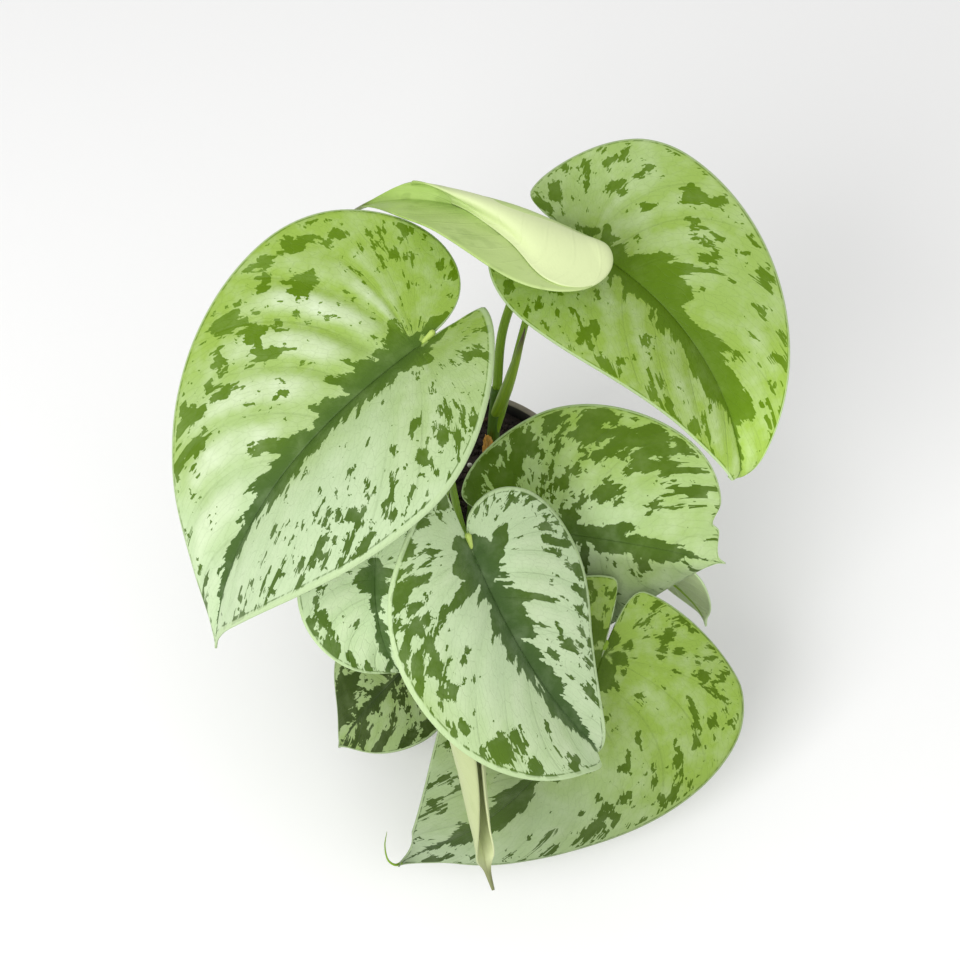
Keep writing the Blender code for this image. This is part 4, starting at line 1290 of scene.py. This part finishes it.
def make_crumbs(settings):
    """Crumbs, white perlite grains and bark chips on the soil."""
    rng = np.random.default_rng(settings.seed)
    damp = soil_material("soil_crumb", settings.dark, settings.light)
    white = soil_material("perlite", (0.62, 0.60, 0.55), (0.85, 0.83, 0.78), 0.9)
    brown = soil_material("bark", (0.030, 0.014, 0.008), (0.110, 0.055, 0.030))
    for name, amount, sizes, stretch, sink, material in (
            ("soil_crumbs", settings.crumbs, (0.0005, 0.0021), (1.0, 0.9, 0.75), 0.15, damp),
            ("perlite_grains", settings.perlite, (0.0007, 0.0019), (1.0, 0.9, 0.8), 0.5, white),
            ("bark_chips", settings.bark, (0.0012, 0.0030), (1.0, 0.55, 0.28), 0.25, brown)):
        finish_piece(scatter(name, amount, sizes, stretch, sink, rng), "soil", material=material)


def make_stem(stem, settings):
    """Rooted stem with swollen joints where the stalks clasp it."""
    heights = np.linspace(SOIL_TOP - STEM_DEPTH, stem.top, 60)
    points = [stem_point(stem, z) for z in heights]
    joints = sorted({leaf.foot for leaf in LEAVES if STEMS[leaf.stem] is stem})
    radii = []
    for z in heights:
        taper = stem.radius * np.interp(z, [SOIL_TOP, stem.top], [1.0, 0.86])
        swell = max((math.exp(-((z - j + 0.003) / 0.0016) ** 2) for j in joints), default=0.0)
        radii.append(taper * (1.0 + 0.10 * swell) * (1.0 if z < stem.top - 1e-4 else 0.8))
    obj = tube(f"{stem.name}_stalk", points, radii, settings.sides, (1, 0, 0))
    return finish_piece(obj, "stem_green", stem.name, material=bpy.data.materials["stem_skin"])


def make_spear(settings):
    """Furled new leaf: a pointed roll with the seam of its overlap winding up it."""
    foot = stem_point(STEMS["a"], SPEAR_FOOT)
    tip = np.array(SPEAR_TIP)
    line = bezier(foot, foot + (-0.001, -0.016, 0.011), tip - (0.004, 0, 0.030), tip, 90)
    radii = np.interp(np.linspace(0, 1, 90), np.linspace(0, 1, len(SPEAR_RADII)), SPEAR_RADII)

    def section(turns, share):
        seam = np.mod(turns - 2.4 - 3.2 * share, 2 * math.pi) / (2 * math.pi)
        return 1.0 + 0.10 * (seam - 0.5) - 0.10 * np.exp(-(np.minimum(seam, 1 - seam) / 0.035) ** 2)

    spear = tube("spear_roll", line, radii, SPEAR_SIDES, (0, -1, 0), section)
    skin = green_material("spear_skin", settings.spear, settings.stem, settings.spear_tip)
    return finish_piece(spear, "stem_green", "spear", material=skin)


def make_husk(settings):
    """Dry husk round the foot of the tallest stem, with a torn and curled upper edge."""
    stem = STEMS["a"]
    verts = []
    for i in range(HUSK_ROWS + 1):
        rise = i / HUSK_ROWS
        spread = math.radians(HUSK_SPREAD) * (1 - 0.82 * rise ** 1.5)
        for j in range(HUSK_COLUMNS + 1):
            turn = math.radians(HUSK_HEADING) + spread * (j / HUSK_COLUMNS - 0.5)
            folds = 0.00022 * math.sin(19 * turn + 3 * rise)
            wrinkle = folds + 0.00025 * noise.noise(Vector((turn * 3.0, rise * 4.0, 5.0)))
            flare = stem.radius + 0.0007 + 0.0016 * rise ** 2 + wrinkle
            ragged = 0.0014 * noise.noise(Vector((turn * 6.0, 0.0, 2.0))) * rise
            verts.append((stem.x + flare * math.cos(turn), stem.y + flare * math.sin(turn),
                          SOIL_TOP + HUSK_LIFT + HUSK_HEIGHT * rise + ragged))
    husk = new_object("husk_sheet", new_mesh("husk", verts, grid_faces(HUSK_ROWS, HUSK_COLUMNS)))
    thicken(husk, HUSK_WALL, offset=1.0)
    return finish_piece(husk, "dry_husk", "dry_sheath", material=husk_material(settings))


class POTHOS_OT_leaves(bpy.types.Operator):
    """Build every leaf: its blade, rib and stalk"""
    bl_idname = "pothos.leaves"
    bl_label = "Leaves"

    def execute(self, context):
        settings = context.scene.pothos_leaves
        stems = context.scene.pothos_stems
        skin = green_material("stalk_skin", stems.stalk, darker(stems.stalk, 0.7))
        pale = green_material("stalk_end", stems.stalk_end, darker(stems.stalk_end, 0.8))
        for leaf in LEAVES:
            finish_piece(blade(leaf, settings), "leaf_green", leaf.name)
            if leaf.look.rolled:
                finish_piece(flap(leaf, settings), "leaf_green")
            ends = ((leaf.nub, nub, pale), (leaf.drip, drip_tip, skin), (True, stalk, skin))
            for wanted, make, material in ends:
                if wanted:
                    finish_piece(make(leaf, stems), "stem_green", material=material)
        return {"FINISHED"}


class POTHOS_OT_stems(bpy.types.Operator):
    """Build the rooted stems, the furled leaf and the dry husk"""
    bl_idname = "pothos.stems"
    bl_label = "Stems"

    def execute(self, context):
        settings = context.scene.pothos_stems
        green_material("stem_skin", settings.stem, darker(settings.stem, 0.6))
        for stem in STEMS.values():
            make_stem(stem, settings)
        make_spear(settings)
        make_husk(settings)
        return {"FINISHED"}


class POTHOS_OT_soil(bpy.types.Operator):
    """Build the soil with its crumbs, perlite and bark"""
    bl_idname = "pothos.soil"
    bl_label = "Soil"

    def execute(self, context):
        make_soil(context.scene.pothos_soil)
        make_crumbs(context.scene.pothos_soil)
        return {"FINISHED"}


class POTHOS_OT_pot(bpy.types.Operator):
    """Build the pot"""
    bl_idname = "pothos.pot"
    bl_label = "Pot"

    def execute(self, context):
        make_pot(context.scene.pothos_pot)
        return {"FINISHED"}


class POTHOS_OT_stage(bpy.types.Operator):
    """Set out the floor, the soft lights and the camera"""
    bl_idname = "pothos.stage"
    bl_label = "Stage"

    def soft_light(self, name, power, size, place):
        light = bpy.data.lights.new(name, "AREA")
        light.energy = power
        light.size = size
        obj = new_object(name, light)
        obj.location = place
        obj.rotation_euler = (Vector(LIGHT_AIM) - Vector(place)).to_track_quat("-Z", "Y").to_euler()

    def execute(self, context):
        settings = context.scene.pothos_stage
        corners = [(x * FLOOR_HALF, y * FLOOR_HALF, 0.0) for x, y in ((-1, -1), (1, -1), (1, 1), (-1, 1))]
        floor = new_object("floor", new_mesh("floor", corners, [(0, 1, 2, 3)]))
        paper = Shader("floor_paper")
        tone = paper.noise(paper.place(), 3.0, 2.0)
        base = paper.mix(0.05 * tone, settings.floor, darker(settings.floor, 0.9))
        floor.data.materials.append(paper.surface(Base_Color=base, Roughness=0.9))

        world = bpy.data.worlds.new("surroundings")
        world.use_nodes = True
        sky = world.node_tree.nodes["Background"]
        sky.inputs["Color"].default_value = (1.0, 1.0, 1.0, 1.0)
        sky.inputs["Strength"].default_value = settings.sky
        context.scene.world = world
        context.scene.view_settings.view_transform = "Standard"
        self.soft_light("key_light", settings.key, KEY_SIZE, KEY_PLACE)
        self.soft_light("fill_light", settings.fill, FILL_SIZE, FILL_PLACE)

        lens = bpy.data.cameras.new("camera")
        lens.lens = settings.lens
        lens.sensor_width = 36.0
        lens.clip_start = 0.01
        camera = new_object("camera", lens)
        tilt = math.radians(settings.elevation)
        camera.location = Vector(CAMERA_AIM) + settings.reach * Vector((0.0, -math.cos(tilt), math.sin(tilt)))
        camera.rotation_euler = (math.pi / 2 - tilt, 0.0, 0.0)
        context.scene.camera = camera
        return {"FINISHED"}


class POTHOS_PT_panel(bpy.types.Panel):
    """Lists the steps that build the plant"""
    bl_label = "Potted satin pothos"
    bl_idname = "POTHOS_PT_panel"
    bl_space_type = "VIEW_3D"
    bl_region_type = "UI"
    bl_category = "Pothos"

    def draw(self, context):
        for operator in OPERATORS:
            self.layout.operator(operator.bl_idname)


SETTINGS = {
    "pothos_leaves": PothosLeafSettings,
    "pothos_stems": PothosStemSettings,
    "pothos_soil": PothosSoilSettings,
    "pothos_pot": PothosPotSettings,
    "pothos_stage": PothosStageSettings,
}
OPERATORS = (POTHOS_OT_pot, POTHOS_OT_soil, POTHOS_OT_stems, POTHOS_OT_leaves, POTHOS_OT_stage)


def register():
    for name, group in SETTINGS.items():
        bpy.utils.register_class(group)
        setattr(bpy.types.Scene, name, bpy.props.PointerProperty(type=group))
    for operator in OPERATORS:
        bpy.utils.register_class(operator)
    bpy.utils.register_class(POTHOS_PT_panel)


def unregister():
    bpy.utils.unregister_class(POTHOS_PT_panel)
    for operator in reversed(OPERATORS):
        bpy.utils.unregister_class(operator)
    for name, group in reversed(SETTINGS.items()):
        delattr(bpy.types.Scene, name)
        bpy.utils.unregister_class(group)


def main():
    register()
    bpy.ops.pothos.pot()
    bpy.ops.pothos.soil()
    bpy.ops.pothos.stems()
    bpy.ops.pothos.leaves()
    bpy.ops.pothos.stage()
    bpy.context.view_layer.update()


if __name__ == "__main__":
    main()
